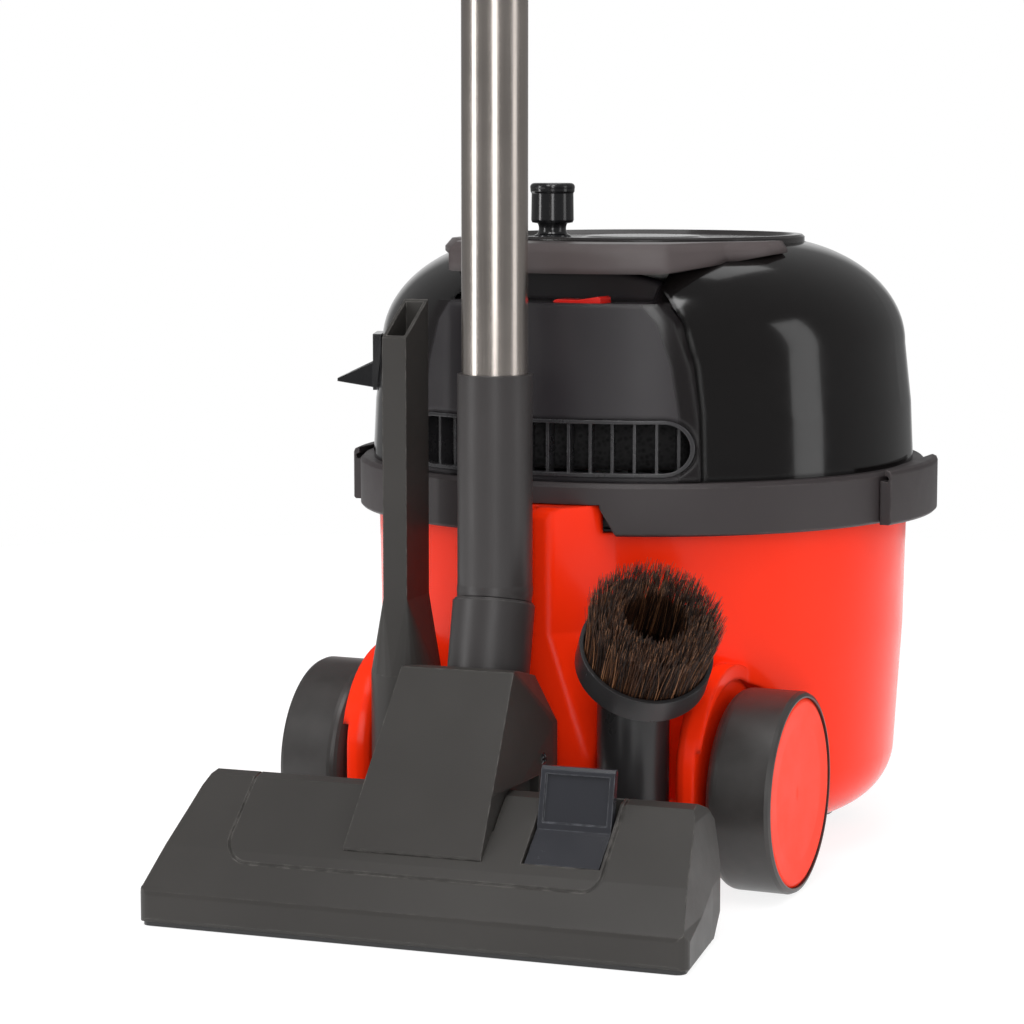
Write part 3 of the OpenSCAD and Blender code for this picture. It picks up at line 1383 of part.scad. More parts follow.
// Neck and cup of the round dusting brush
module brush_cup() color(black) {
    difference() {
        union() {
            translate([brush_x, -peg_reach, tool_z0]) cylinder(r = tool_r, h = brush_bend_z - tool_z0);
            at_brush() {
                sphere(r = tool_r);
                cylinder(r = tool_r, h = cup_s);
                translate([0, 0, cup_s - 9]) cylinder(r1 = tool_r, r2 = cup_r - 3, h = 8);
                translate([0, 0, cup_s - 1 - eps]) cylinder(r1 = cup_r - 3, r2 = cup_r, h = 3);
                translate([0, 0, cup_s + 2 - 2 * eps]) cylinder(r = cup_r, h = cup_h - 2);
            }
        }
        translate([brush_x, -peg_reach, 0]) cylinder(r = tool_bore_r, h = brush_bend_z);
        at_brush() {
            sphere(r = tool_bore_r - 0.5);
            cylinder(r = tool_bore_r - 0.5, h = 60);
            translate([0, 0, cup_s + 3]) cylinder(r = cup_r - 2, h = 60);
        }
    }
}

module brush_bristles() color([0.25, 0.15, 0.10])
    at_brush() tube_z(cup_r - 2.2, tool_bore_r - 0.3, cup_s + 3.1, cup_s + cup_h + bristle_h);

place() tub_shell();
place() hose_inlet();
place() inlet_seal();
place() dust_bag();
place() bag_collar();
place() wheel_axles();
place() axle_clips();
place() wheel_left();
place() tyre_left();
place() hub_cap_left();
place() wheel_right();
place() tyre_right();
place() hub_cap_right();
place() caster_fork_left();
place() caster_wheel_left();
place() caster_fork_right();
place() caster_wheel_right();
place() caster_pin_left();
place() caster_pin_right();
place() head_shell();
place() rear_panel();
place() exhaust_grille();
place() handle_bar();
place() rim_band();
place() base_plate();
place() head_screws();
place() head_seal();
place() filter_frame();
place() filter_cloth();
place() cable_outlet();
place() switch_body();
place() switch_rocker();
place() reel_deck();
place() cable_drum();
place() crank_disc();
place() knob_pin();
place() crank_knob();
place() motor_casing();
place() motor_stator();
place() impeller();
place() motor_shaft();
place() clip_left();
place() clip_right();
place() clip_pins();
place() wand_sleeve();
place() wand_tube();
place() swivel_collar();
place() neck_housing();
place() pivot_pins();
place() nozzle_body();
place() sole_plate();
place() pedal();
place() pedal_pin();
place() strip_carrier();
place() strip_bristles();
place() crevice_tool();
place() brush_cup();
place() brush_bristles();
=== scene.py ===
"""Looks of the tub vacuum cleaner: camera, materials, soft pieces, small pieces and studio."""

import math
import random

import bpy
import bmesh
import numpy as np
from mathutils import Matrix, Vector


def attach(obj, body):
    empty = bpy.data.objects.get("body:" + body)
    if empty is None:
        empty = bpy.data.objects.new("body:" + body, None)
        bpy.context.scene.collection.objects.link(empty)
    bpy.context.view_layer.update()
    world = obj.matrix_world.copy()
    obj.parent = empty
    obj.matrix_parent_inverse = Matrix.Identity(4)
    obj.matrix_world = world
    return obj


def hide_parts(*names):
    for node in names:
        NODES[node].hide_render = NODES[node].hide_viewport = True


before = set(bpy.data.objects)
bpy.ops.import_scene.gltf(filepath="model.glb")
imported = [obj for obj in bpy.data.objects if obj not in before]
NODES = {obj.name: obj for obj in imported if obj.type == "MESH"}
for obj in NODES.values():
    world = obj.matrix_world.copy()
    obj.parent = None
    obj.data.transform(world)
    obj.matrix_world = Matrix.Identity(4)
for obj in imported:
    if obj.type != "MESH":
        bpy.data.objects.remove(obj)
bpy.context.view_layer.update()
RNG = random.Random(7)
MM = 0.001
SHIFT_Y = 72.58311  # place of the tub's middle along Y in the shared frame, in millimetres

# ------------------------------------------------------------------ camera and materials

scene = bpy.context.scene
cam_data = bpy.data.cameras.new("camera")
cam = bpy.data.objects.new("camera", cam_data)
scene.collection.objects.link(cam)
cam.location = (0.5760, -1.4358, 0.3643)
cam.rotation_euler = (math.radians(83.1), 0, math.radians(23.4))
cam_data.lens = 105.47
cam_data.sensor_width = 36
cam_data.clip_start = 0.05
scene.camera = cam
scene.view_settings.view_transform = "Standard"


def lin(r, g, b):
    """Linear colour from 0-255 screen values."""

    def f(v):
        v /= 255.0
        return v / 12.92 if v <= 0.04045 else ((v + 0.055) / 1.055) ** 2.4

    return (f(r), f(g), f(b), 1.0)


class Graph:
    """Short way to lay out a material's nodes."""

    def __init__(self, name):
        self.mat = bpy.data.materials.new(name)
        self.mat.use_nodes = True
        self.tree = self.mat.node_tree
        self.tree.nodes.clear()
        self.out = self.node("ShaderNodeOutputMaterial")

    def node(self, kind, **values):
        """New node; each value sets the attribute of that name, or else the input."""
        n = self.tree.nodes.new(kind)
        for key, value in values.items():
            if hasattr(n, key):
                setattr(n, key, value)
            else:
                n.inputs[key.replace("_", " ")].default_value = value
        return n

    def link(self, a, b):
        self.tree.links.new(a, b)

    def coords(self):
        return self.node("ShaderNodeTexCoord").outputs["Object"]

    def noise(self, scale, detail=3.0, rough=0.6, vector=None):
        n = self.node("ShaderNodeTexNoise")
        n.inputs["Scale"].default_value = scale
        n.inputs["Detail"].default_value = detail
        n.inputs["Roughness"].default_value = rough
        self.link(vector or self.coords(), n.inputs["Vector"])
        return n.outputs["Fac"]

    def ramp(self, fac, stops):
        n = self.node("ShaderNodeValToRGB")
        e = n.color_ramp.elements
        while len(e) < len(stops):
            e.new(0.5)
        for item, (pos, col) in zip(e, stops):
            item.position = pos
            item.color = col
        self.link(fac, n.inputs["Fac"])
        return n.outputs["Color"]

    def span(self, fac, lo, hi, a=0.0, b=1.0):
        n = self.node("ShaderNodeMapRange")
        for key, value in (("From Min", a), ("From Max", b), ("To Min", lo), ("To Max", hi)):
            n.inputs[key].default_value = value
        self.link(fac, n.inputs["Value"])
        return n.outputs["Result"]

    def math(self, op, a, b):
        n = self.node("ShaderNodeMath", operation=op)
        for i, v in enumerate((a, b)):
            if isinstance(v, (int, float)):
                n.inputs[i].default_value = v
            else:
                self.link(v, n.inputs[i])
        return n.outputs[0]

    def bump(self, height, strength, distance, normal=None):
        n = self.node("ShaderNodeBump")
        n.inputs["Strength"].default_value = strength
        n.inputs["Distance"].default_value = distance
        self.link(height, n.inputs["Height"])
        if normal:
            self.link(normal, n.inputs["Normal"])
        return n.outputs["Normal"]

    def shader(self, color, rough, normal=None, **values):
        n = self.node("ShaderNodeBsdfPrincipled")
        for key, v in (("Base Color", color), ("Roughness", rough)):
            if isinstance(v, (int, float, tuple)):
                n.inputs[key].default_value = v
            else:
                self.link(v, n.inputs[key])
        if normal:
            self.link(normal, n.inputs["Normal"])
        for key, v in values.items():
            n.inputs[key.replace("_", " ")].default_value = v
        self.link(n.outputs[0], self.out.inputs["Surface"])
        return n


def rounded(g, radius):
    """Normal of edges that a mould leaves slightly rounded."""
    n = g.node("ShaderNodeBevel")
    n.samples = 4
    n.inputs["Radius"].default_value = radius
    return n.outputs["Normal"]


def pale_edge_wear_and_highlight(g, soft, edge_wear_and_highlight):
    """Pale edges where the rounded normal leaves the flat one, broken up by noise: partly wear and partly
    painted highlight.
    """
    geo = g.node("ShaderNodeNewGeometry")
    dot = g.node("ShaderNodeVectorMath", operation="DOT_PRODUCT")
    g.link(soft, dot.inputs[0])
    g.link(geo.outputs["Normal"], dot.inputs[1])
    edge = g.span(dot.outputs["Value"], 1.0, 0.0, 0.80, 0.985)
    broken = g.math("MULTIPLY", edge, g.span(g.noise(160, 4), 0.15, 1.0, 0.42, 0.62))
    return g.math("MULTIPLY", broken, edge_wear_and_highlight)


def plastic(name, base, rough, grain=0.0, grain_scale=2200, tone=0.08, edge_wear_and_highlight=0.15, coat=0.0, edge=None,
            soft=0.0008, **extra):
    """Moulded plastic: tone varies softly, roughness is broken by handling marks, grain is a fine texture,
    and the pale edge colour is partly wear and partly painted highlight.
    """
    g = Graph(name)
    lo = tuple(c * (1 - tone) for c in base[:3]) + (1,)
    hi = tuple(min(1, c * (1 + tone)) for c in base[:3]) + (1,)
    colour = g.ramp(g.noise(9, 3), [(0.35, lo), (0.65, hi)])
    mould = rounded(g, soft) if soft else None
    if edge_wear_and_highlight and soft:
        # Pale colour along the rounded edges: partly wear, partly painted highlight.
        mix = g.node("ShaderNodeMix", data_type="RGBA")
        g.link(pale_edge_wear_and_highlight(g, mould, edge_wear_and_highlight), mix.inputs["Factor"])
        g.link(colour, mix.inputs["A"])
        mix.inputs["B"].default_value = edge or tuple(min(1, c * 2.0 + 0.03) for c in base[:3]) + (1,)
        colour = mix.outputs["Result"]
    marks = g.noise(45, 5, 0.7)
    r = g.span(marks, rough - 0.04, rough + 0.06, 0.3, 0.75)
    normal = g.bump(g.noise(28, 2), 0.02, 0.002, mould)
    if grain:
        normal = g.bump(g.noise(grain_scale, 2, 0.5), grain, 0.00012, normal)
    g.shader(colour, r, normal, Coat_Weight=coat, Coat_Roughness=0.06, **extra)
    return g.mat


def blend(g, a, share_a, b, share_b):
    """Two patterns added by their shares."""
    return g.math("ADD", g.math("MULTIPLY", a, share_a), g.math("MULTIPLY", b, share_b))


def brushed(name, base, rough, axis, stretch=260, metallic=1.0, aniso=0.6, depth=0.35):
    """Metal brushed along one axis, with faint smudges."""
    g = Graph(name)
    m = g.node("ShaderNodeMapping")
    m.inputs["Scale"].default_value = [1.0 if i == axis else stretch for i in range(3)]
    g.link(g.coords(), m.inputs["Vector"])
    lines = g.noise(14, 3, 0.65, m.outputs["Vector"])
    smudge = g.noise(16, 3)
    lo = tuple(c * 0.86 for c in base[:3]) + (1,)
    colour = g.ramp(blend(g, lines, 0.6, smudge, 0.4), [(0.3, lo), (0.7, base)])
    r = g.span(blend(g, lines, 0.5, smudge, 0.5), rough - 0.05, rough + 0.09, 0.3, 0.7)
    g.shader(colour, r, g.bump(lines, depth, 0.00005), Metallic=metallic, Anisotropic=aniso)
    return g.mat


def rubber(name, base, rough):
    """Matt rubber with pale dust in patches."""
    g = Graph(name)
    dust = g.ramp(g.noise(14, 5, 0.7), [(0.38, base), (0.74, tuple(c * 1.6 + 0.01 for c in base[:3]) + (1,))])
    r = g.span(g.noise(60, 4), rough - 0.06, rough + 0.08)
    g.shader(dust, r, g.bump(g.noise(900, 3), 0.18, 0.00015, g.bump(g.noise(40, 2), 0.05, 0.001)))
    return g.mat


def paper(name, base, dark):
    """Fibrous paper or card with soft creases."""
    g = Graph(name)
    fibres = g.noise(240, 6, 0.75)
    colour = g.ramp(blend(g, fibres, 0.5, g.noise(12, 4), 0.5), [(0.3, dark), (0.7, base)])
    creases = g.node("ShaderNodeTexVoronoi", feature="DISTANCE_TO_EDGE")
    creases.inputs["Scale"].default_value = 26
    g.link(g.coords(), creases.inputs["Vector"])
    fold = g.span(creases.outputs["Distance"], 0.0, 1.0, 0.0, 0.08)
    normal = g.bump(fold, 0.35, 0.0012, g.bump(fibres, 0.2, 0.0002))
    g.shader(colour, 0.85, normal, Sheen_Weight=0.15)
    return g.mat


def fleece(name, base, dark):
    """Pressed filter cloth with a fine woven scrim."""
    g = Graph(name)
    waves = []
    for axis in ("X", "Y"):
        w = g.node("ShaderNodeTexWave", bands_direction=axis)
        w.inputs["Scale"].default_value = 300
        w.inputs["Distortion"].default_value = 0.6
        g.link(g.coords(), w.inputs["Vector"])
        waves.append(w.outputs["Fac"])
    weave = g.math("MAXIMUM", *waves)
    felt = g.noise(420, 5, 0.8)
    soil = g.noise(11, 5, 0.6)
    colour = g.ramp(blend(g, felt, 0.35, soil, 0.65), [(0.32, dark), (0.66, base)])
    g.shader(colour, 0.95, g.bump(weave, 0.25, 0.0002, g.bump(felt, 0.3, 0.0003)), Sheen_Weight=0.35)
    return g.mat


# The edge colours given to these plastics are pale edges, partly wear and partly painted highlight.
RED = plastic("moulded_red", lin(255, 48, 12), 0.2, tone=0.03, edge_wear_and_highlight=0.08, coat=0.05, edge=lin(255, 90, 70),
              soft=0.003, Specular_IOR_Level=0.19)
CAP = plastic("cap_red", lin(255, 54, 16), 0.34, tone=0.03, edge_wear_and_highlight=0.08, edge=lin(255, 90, 70), soft=0.002,
              Specular_IOR_Level=0.07)
HEAD = plastic("head_gloss_black", lin(11, 9, 9), 0.12, tone=0.10, edge_wear_and_highlight=0.0, coat=0.35, soft=0.004,
               Specular_IOR_Level=0.45)


def panel_material():
    """Satin rear panel whose rounded side edges are polished like the dome beside them."""
    g = Graph("panel_satin")
    soft = rounded(g, 0.004)
    xyz = g.node("ShaderNodeSeparateXYZ")
    g.link(g.coords(), xyz.inputs[0])
    width = g.node("ShaderNodeFloatCurve")
    curve = width.mapping.curves[0]
    for point, (z, w) in zip((curve.points[0], curve.points[1]), ((0.0, 0.0765), (1.0, 0.058))):
        point.location = (z, w * 10)
    for z, w in ((0.38, 0.0765), (0.65, 0.073), (0.88, 0.0665)):
        curve.points.new(z, w * 10)
    for point in curve.points:
        point.handle_type = "VECTOR"
    width.mapping.update()
    g.link(g.span(xyz.outputs["Z"], 0.0, 1.0, 0.2, 0.29), width.inputs["Value"])
    inset = g.math("SUBTRACT", g.math("MULTIPLY", width.outputs["Value"], 0.1),
                   g.math("ABSOLUTE", xyz.outputs["X"], 0))
    mask = g.span(inset, 1.0, 0.0, 0.0065, 0.0090)
    tone = g.ramp(g.noise(9, 3), [(0.35, lin(36, 33, 36)), (0.65, lin(42, 38, 41))])
    mix = g.node("ShaderNodeMix", data_type="RGBA")
    g.link(mask, mix.inputs["Factor"])
    g.link(tone, mix.inputs["A"])
    mix.inputs["B"].default_value = lin(22, 19, 20)
    rough = g.node("ShaderNodeMix", data_type="FLOAT")
    g.link(mask, rough.inputs["Factor"])
    g.link(g.span(g.noise(45, 5, 0.7), 0.32, 0.42, 0.3, 0.75), rough.inputs["A"])
    rough.inputs["B"].default_value = 0.14
    grain = g.math("MULTIPLY", g.noise(2600, 2, 0.5), g.math("SUBTRACT", 1.0, mask))
    g.shader(mix.outputs["Result"], rough.outputs["Result"], g.bump(grain, 0.12, 0.00012, soft))
    return g.mat


PANEL = panel_material()
HANDLE = plastic("handle_satin", lin(78, 70, 70), 0.33, grain=0.10, grain_scale=2600, tone=0.06, edge_wear_and_highlight=0.0,
                 soft=0.007)
# Edge colours from here on are pale edges, partly wear and partly painted highlight.
BAND = plastic("band_textured", lin(50, 44, 45), 0.46, grain=0.28, grain_scale=1900, edge_wear_and_highlight=0.7,
               edge=lin(104, 96, 96), soft=0.0012)
GREY = plastic("tool_textured", lin(54, 52, 50), 0.42, grain=0.34, grain_scale=1700, edge_wear_and_highlight=1.0,
               edge=lin(112, 109, 105), soft=0.0011, Specular_IOR_Level=0.3)
SLEEVE = plastic("sleeve_textured", lin(50, 47, 47), 0.38, grain=0.22, grain_scale=2000, edge_wear_and_highlight=0.6,
                 edge=lin(104, 100, 98), soft=0.001)
GRILLE = plastic("grille_satin", lin(46, 45, 47), 0.26, grain=0.08, edge_wear_and_highlight=0.35, edge=lin(150, 150, 152))
PEDAL = plastic("pedal_gloss", lin(40, 41, 46), 0.24, edge_wear_and_highlight=0.4, coat=0.3, edge=lin(150, 152, 160),
                soft=0.0009)
KNOB = plastic("knob_gloss", lin(22, 22, 24), 0.18, edge_wear_and_highlight=0.2, coat=0.4)
DISC = plastic("disc_gloss", lin(34, 31, 31), 0.2, edge_wear_and_highlight=0.15, coat=0.3)
CUP = plastic("cup_satin", lin(40, 39, 40), 0.3, grain=0.1, edge_wear_and_highlight=0.15)
PLAIN = plastic("inner_grey", lin(110, 110, 112), 0.5, grain=0.3, grain_scale=1500, edge_wear_and_highlight=0.15)
PALE = plastic("drum_pale", lin(196, 196, 192), 0.45, grain=0.2, grain_scale=1500, edge_wear_and_highlight=0.1,
               edge=lin(235, 235, 232))
BASE = plastic("base_black", lin(40, 40, 41), 0.5, grain=0.4, grain_scale=1200, edge_wear_and_highlight=0.15)
TYRE = rubber("tyre_rubber", lin(44, 42, 41), 0.34)
SEAL = rubber("seal_foam", lin(44, 44, 45), 0.8)
TUBE = brushed("tube_steel", lin(208, 199, 192), 0.19, 2, stretch=300, aniso=0.5, depth=0.2)
STEEL = brushed("pin_steel", lin(185, 185, 188), 0.26, 0, stretch=60)


def sole_material():
    """Brushed steel underneath, black along the rolled edge that shows from the side."""
    g = Graph("sole_steel")
    geo = g.node("ShaderNodeNewGeometry")
    xyz = g.node("ShaderNodeSeparateXYZ")
    g.link(geo.outputs["Normal"], xyz.inputs[0])
    under = g.span(xyz.outputs["Z"], 1.0, 0.0, -0.9, -0.5)
    stretch = g.node("ShaderNodeMapping")
    stretch.inputs["Scale"].default_value = (1, 180, 180)
    g.link(g.coords(), stretch.inputs["Vector"])
    lines = g.noise(14, 3, 0.65, stretch.outputs["Vector"])
    mix = g.node("ShaderNodeMix", data_type="RGBA")
    g.link(under, mix.inputs["Factor"])
    mix.inputs["A"].default_value = lin(38, 38, 39)
    g.link(g.ramp(lines, [(0.3, lin(128, 128, 131)), (0.7, lin(152, 152, 156))]), mix.inputs["B"])
    shader = g.shader(mix.outputs["Result"], g.span(lines, 0.30, 0.44), g.bump(lines, 0.3, 0.00005))
    g.link(under, shader.inputs["Metallic"])
    return g.mat


SOLE = sole_material()
ALLOY = brushed("fan_alloy", lin(205, 206, 210), 0.36, 2, stretch=90, aniso=0.3)
COPPER = brushed("winding_copper", lin(176, 96, 52), 0.35, 2, stretch=500, metallic=0.85, depth=1.0)
CARD = paper("card_board", lin(186, 150, 100), lin(150, 116, 72))
BAG = paper("bag_paper", lin(226, 214, 186), lin(190, 174, 140))
FLEECE = fleece("filter_fleece", lin(222, 220, 212), lin(176, 172, 160))
BRISTLE_DARK = plastic("bristle_dark", lin(38, 27, 22), 0.5, tone=0.2, edge_wear_and_highlight=0.0, soft=0.0)
BRISTLE_MID = plastic("bristle_brown", lin(86, 56, 38), 0.45, tone=0.2, edge_wear_and_highlight=0.0, soft=0.0)
BRISTLE_TIP = plastic("bristle_tan", lin(150, 104, 72), 0.45, tone=0.2, edge_wear_and_highlight=0.0, soft=0.0)

# The switch's pale edge colour is partly wear and partly painted highlight.
SWITCH = plastic("switch_red", lin(214, 34, 26), 0.25, edge_wear_and_highlight=0.1, coat=0.2, edge=lin(255, 120, 100))
LOOKS = {
    RED: ["tub_shell"],
    CAP: ["hub_cap_left", "hub_cap_right"],
    SWITCH: ["switch_rocker"],
    HEAD: ["head_shell"],
    PANEL: ["rear_panel"],
    HANDLE: ["handle_bar"],
    BAND: ["rim_band", "clip_left", "clip_right"],
    GRILLE: ["exhaust_grille"],
    GREY: ["nozzle_body", "neck_housing", "crevice_tool"],
    SLEEVE: ["wand_sleeve", "swivel_collar"],
    PEDAL: ["pedal"],
    KNOB: ["crank_knob", "cable_outlet", "hose_inlet", "switch_body"],
    DISC: ["crank_disc"],
    CUP: ["brush_cup"],
    PLAIN: ["wheel_left", "wheel_right", "caster_fork_left", "caster_fork_right", "filter_frame",
            "reel_deck"],
    PALE: ["cable_drum"],
    BASE: ["base_plate", "strip_carrier"],
    TYRE: ["tyre_left", "tyre_right", "caster_wheel_left", "caster_wheel_right"],
    SEAL: ["head_seal", "inlet_seal"],
    TUBE: ["wand_tube"],
    STEEL: ["pedal_pin", "pivot_pins", "clip_pins", "knob_pin", "head_screws", "wheel_axles", "axle_clips",
            "caster_pin_left", "caster_pin_right", "motor_shaft"],
    SOLE: ["sole_plate"],
    ALLOY: ["impeller", "motor_casing"],
    COPPER: ["motor_stator"],
    CARD: ["bag_collar"],
}
for material, names in LOOKS.items():
    for name in names:
        obj = NODES[name]
        obj.data.materials.clear()
        obj.data.materials.append(material)

# ------------------------------------------------------------------ small tools for pieces

def new_piece(name, verts, faces, materials, body, indices=None):
    """Smooth-shaded mesh of its own that rides on a body; indices pick the material of each face."""
    mesh = bpy.data.meshes.new(name)
    mesh.from_pydata(verts, [], faces)
    for m in materials:
        mesh.materials.append(m)
    if indices is not None:
        mesh.polygons.foreach_set("material_index", indices)
    mesh.polygons.foreach_set("use_smooth", [True] * len(mesh.polygons))
    mesh.update()
    obj = bpy.data.objects.new(name, mesh)
    scene.collection.objects.link(obj)
    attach(obj, body)
    return obj


def tub(x, y, z):
    """Point of the part's own frame, in millimetres, in the shared frame."""
    return Vector((x * MM, (y + SHIFT_Y) * MM, z * MM))


# ------------------------------------------------------------------ bristles

def turned(axis, degrees):
    return Matrix.Rotation(math.radians(degrees), 4, axis)


# Places of the dusting brush and the floor tool on the part, in millimetres and degrees
PEG_X, PEG_REACH, BRUSH_BEND_Z = 59.0, 165.0, 100
BRUSH_TURN, BRUSH_TILT = 36, 42
WAND_X, WAND_REACH = -3.5, 190
TOOL_YAW, TOOL_SHIFT, TOOL_DEPTH = 4, 6, 109

BRUSH = (Matrix.Translation(tub(PEG_X, -PEG_REACH, BRUSH_BEND_Z))
         @ turned("Z", BRUSH_TURN) @ turned("X", BRUSH_TILT))
TOOL = (Matrix.Translation(tub(WAND_X, -WAND_REACH, 0)) @ turned("Z", TOOL_YAW)
        @ Matrix.Translation(Vector((-TOOL_SHIFT * MM, -TOOL_DEPTH * MM, 0))))

# Thinnest and thickest hair, and what it loses towards its tip, as shares of the given radius
HAIR_THIN, HAIR_THICK, HAIR_TAPER = 0.75, 1.2, 0.65


def strands(name, hairs, local_frame, radius, materials, weights, body):
    """Many tapered three-sided hairs, each given by its points from foot to tip, in millimetres."""
    verts, faces, picks = [], [], []
    for points in hairs:
        base = len(verts)
        spin = RNG.random() * math.tau
        thick = radius * RNG.uniform(HAIR_THIN, HAIR_THICK)
        side = Vector((math.cos(spin), math.sin(spin), 0))
        other = Vector((-side.y, side.x, 0))
        n = len(points)
        for i, p in enumerate(points):
            r = thick * (1.0 - HAIR_TAPER * (i / (n - 1)) ** 1.5)
            for k in range(3):
                a = math.tau * k / 3
                verts.append(local_frame @ ((p + side * math.cos(a) * r + other * math.sin(a) * r) * MM))
        pick = RNG.choices(range(len(materials)), weights)[0]
        for i in range(n - 1):
            for k in range(3):
                a, b = base + 3 * i + k, base + 3 * i + (k + 1) % 3
                faces.append((a, b, b + 3, a + 3))
                picks.append(pick)
        faces.append((base + 3 * n - 3, base + 3 * n - 2, base + 3 * n - 1))
        faces.append((base + 2, base + 1, base))
        picks += [pick, pick]
    return new_piece(name, verts, faces, materials, body, indices=picks)


def dusting_hair():
    """Hair of the dusting brush: staggered rings of tufts round an open middle, each with its own lean."""
    inner, outer, z0, z1 = 16.4, 29.6, 23.3, 66.5
    ring_count, tuft_pitch, edge_room, per_tuft = 6, 3.0, 0.8, 13
    joints, middle_r = 5, 12.0
    hairs = []
    tufts = []
    for ring in range(ring_count):
        r = inner + edge_room + (outer - inner - 2 * edge_room) * ring / (ring_count - 1)
        count = int(math.tau * r / tuft_pitch)
        for i in range(count):
            around = math.tau * (i + 0.5 * (ring % 2)) / count + RNG.uniform(-0.02, 0.02)
            tufts.append((r, around, RNG.uniform(-1.8, 0.6), RNG.uniform(-1, 1)))
    for r, a, short, swing in tufts:
        for _ in range(per_tuft):
            rr = min(max(r + RNG.gauss(0, 0.75), inner), outer)
            aa = a + RNG.gauss(0, 0.85) / r
            share = (rr - inner) / (outer - inner)
            dome = -2.6 * (abs(share - 0.5) * 2) ** 2
            length = (z1 - z0) + short + dome + RNG.uniform(-2.4, 1.2)
            lean_out = 0.6 + 3.6 * (share - 0.35) + RNG.gauss(0, 0.9)
            lean_side = 1.4 * swing + RNG.gauss(0, 1.1)
            wave = RNG.uniform(0.15, 0.75)
            phase = RNG.random() * math.tau
            pts = []
            for k in range(joints + 1):
                t = k / joints
                rad = rr + lean_out * t * t + wave * math.sin(5.5 * t + phase) * t
                ang = aa + (lean_side * t * t + wave * math.cos(4.7 * t + phase) * t) / rr
                rad = max(rad, middle_r)
                pts.append(Vector((rad * math.cos(ang), rad * math.sin(ang), z0 + length * t)))
            hairs.append(pts)
    tones, weights = [BRISTLE_DARK, BRISTLE_MID, BRISTLE_TIP], [0.56, 0.33, 0.11]
    return strands("brush_hair", hairs, BRUSH, 0.23, tones, weights, "duster")


hair = dusting_hair()
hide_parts("brush_bristles")


def strip_hair():
    """Hair of the two bristle strips under the floor tool."""
    half_width, tuft_pitch, per_tuft = 119.0, 1.9, 7
    foot_z, length = 5.6, 5.0
    hairs = []
    for v0, v1 in ((7.2, 9.8), (47.7, 50.3)):
        x = -half_width
        while x < half_width:
            for _ in range(per_tuft):
                px, pv = x + RNG.uniform(-0.7, 0.7), RNG.uniform(v0, v1)
                lean = Vector((RNG.gauss(0, 0.35), RNG.gauss(0, 0.2), 0))
                top = Vector((px, pv, foot_z))
                end = top + lean + Vector((0, 0, -length + RNG.uniform(0.02, 0.5)))
                hairs.append([top, (top + end) / 2 + lean * -0.2, end])
            x += tuft_pitch
    return strands("strip_hair", hairs, TOOL, 0.16, [BRISTLE_DARK, BRISTLE_MID], [0.7, 0.3], "strips")


strip = strip_hair()
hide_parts("strip_bristles")


# ------------------------------------------------------------------ filter cloth

def filter_bucket():
    """Cloth bucket hung inside the filter frame, its side gathered by pleats into a flatter floor."""
    top_r, z_top, z_floor, lift = 112.9, 177.6, 144.6, 1.2
    profile = [(0.0, 0.0), (0.18, 0.0), (0.36, 0.0), (0.52, 0.0), (0.66, 0.0), (0.76, 0.01),
               (0.83, 0.05), (0.875, 0.14), (0.90, 0.28), (0.925, 0.45), (0.945, 0.62),
               (0.965, 0.79), (0.98, 0.92), (0.985, 1.0)]
    count, pleats, folds = 192, 28, 11
    verts, faces = [], []
    for i, (r, h) in enumerate(profile):
        for k in range(count):
            a = math.tau * k / count
            pleat = math.sin(pleats * a) + 0.35 * math.sin(folds * a + 1.3)
            depth = 1.5 * math.exp(-(((r - 0.88) / 0.09) ** 2)) * (1 - h) + 0.25 * (1 - h)
            sag = -0.9 * math.cos(min(r / 0.8, 1) * math.pi / 2) + 0.35 * math.sin(3 * a + 5 * r) * (1 - h)
            rr = r * top_r + depth * pleat
            crease = 0.35 * pleat * math.exp(-(((r - 0.82) / 0.1) ** 2))
            z = z_floor + lift + (z_top - z_floor - lift) * h + sag * (1 - h) + crease
            verts.append(tub(rr * math.cos(a), rr * math.sin(a), z))
    for i in range(len(profile) - 1):
        for k in range(count):
            a, b = i * count + k, i * count + (k + 1) % count
            faces.append((a, b, b + count, a + count))
    bucket = new_piece("filter_bucket", verts, faces, [FLEECE], "head")
    bm = bmesh.new()
    bm.from_mesh(bucket.data)
    bmesh.ops.remove_doubles(bm, verts=bm.verts, dist=1e-6)
    bm.to_mesh(bucket.data)
    bm.free()
    return bucket


bucket = filter_bucket()
area = sum(p.area for p in bucket.data.polygons)
side = 2 * math.sqrt(area / math.pi)  # width of a disc with the bucket's area


def hem_ring(name, major, z, minor_r, minor_z, stitches, body, material):
    """Rolled hem with the small dimples of its stitches."""
    verts, faces = [], []
    n, m = stitches * 3, 10
    for i in range(n):
        a = math.tau * i / n
        pinch = 1.0 - 0.16 * (i % 3 == 0)
        for k in range(m):
            b = math.tau * k / m
            r = major + minor_r * pinch * math.cos(b)
            verts.append(tub(r * math.cos(a), r * math.sin(a), z + minor_z * pinch * math.sin(b)))
    for i in range(n):
        for k in range(m):
            a, b = i * m + k, i * m + (k + 1) % m
            c, d = ((i + 1) % n) * m + (k + 1) % m, ((i + 1) % n) * m + k
            faces.append((a, d, c, b))
    return new_piece(name, verts, faces, [material], body)


hem = hem_ring("filter_hem", 111.2, 175.6, 1.3, 2.1, 150, "head", FLEECE)
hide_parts("filter_cloth")


# ------------------------------------------------------------------ dust bag

# Step of the bag's mesh, its start inside the CAD bag and the longest move of its skin, in metres
BAG_VOXEL = 0.006
BAG_INSET = 0.0018
BAG_CAP = 0.0024
BAG_FRAMES = 18


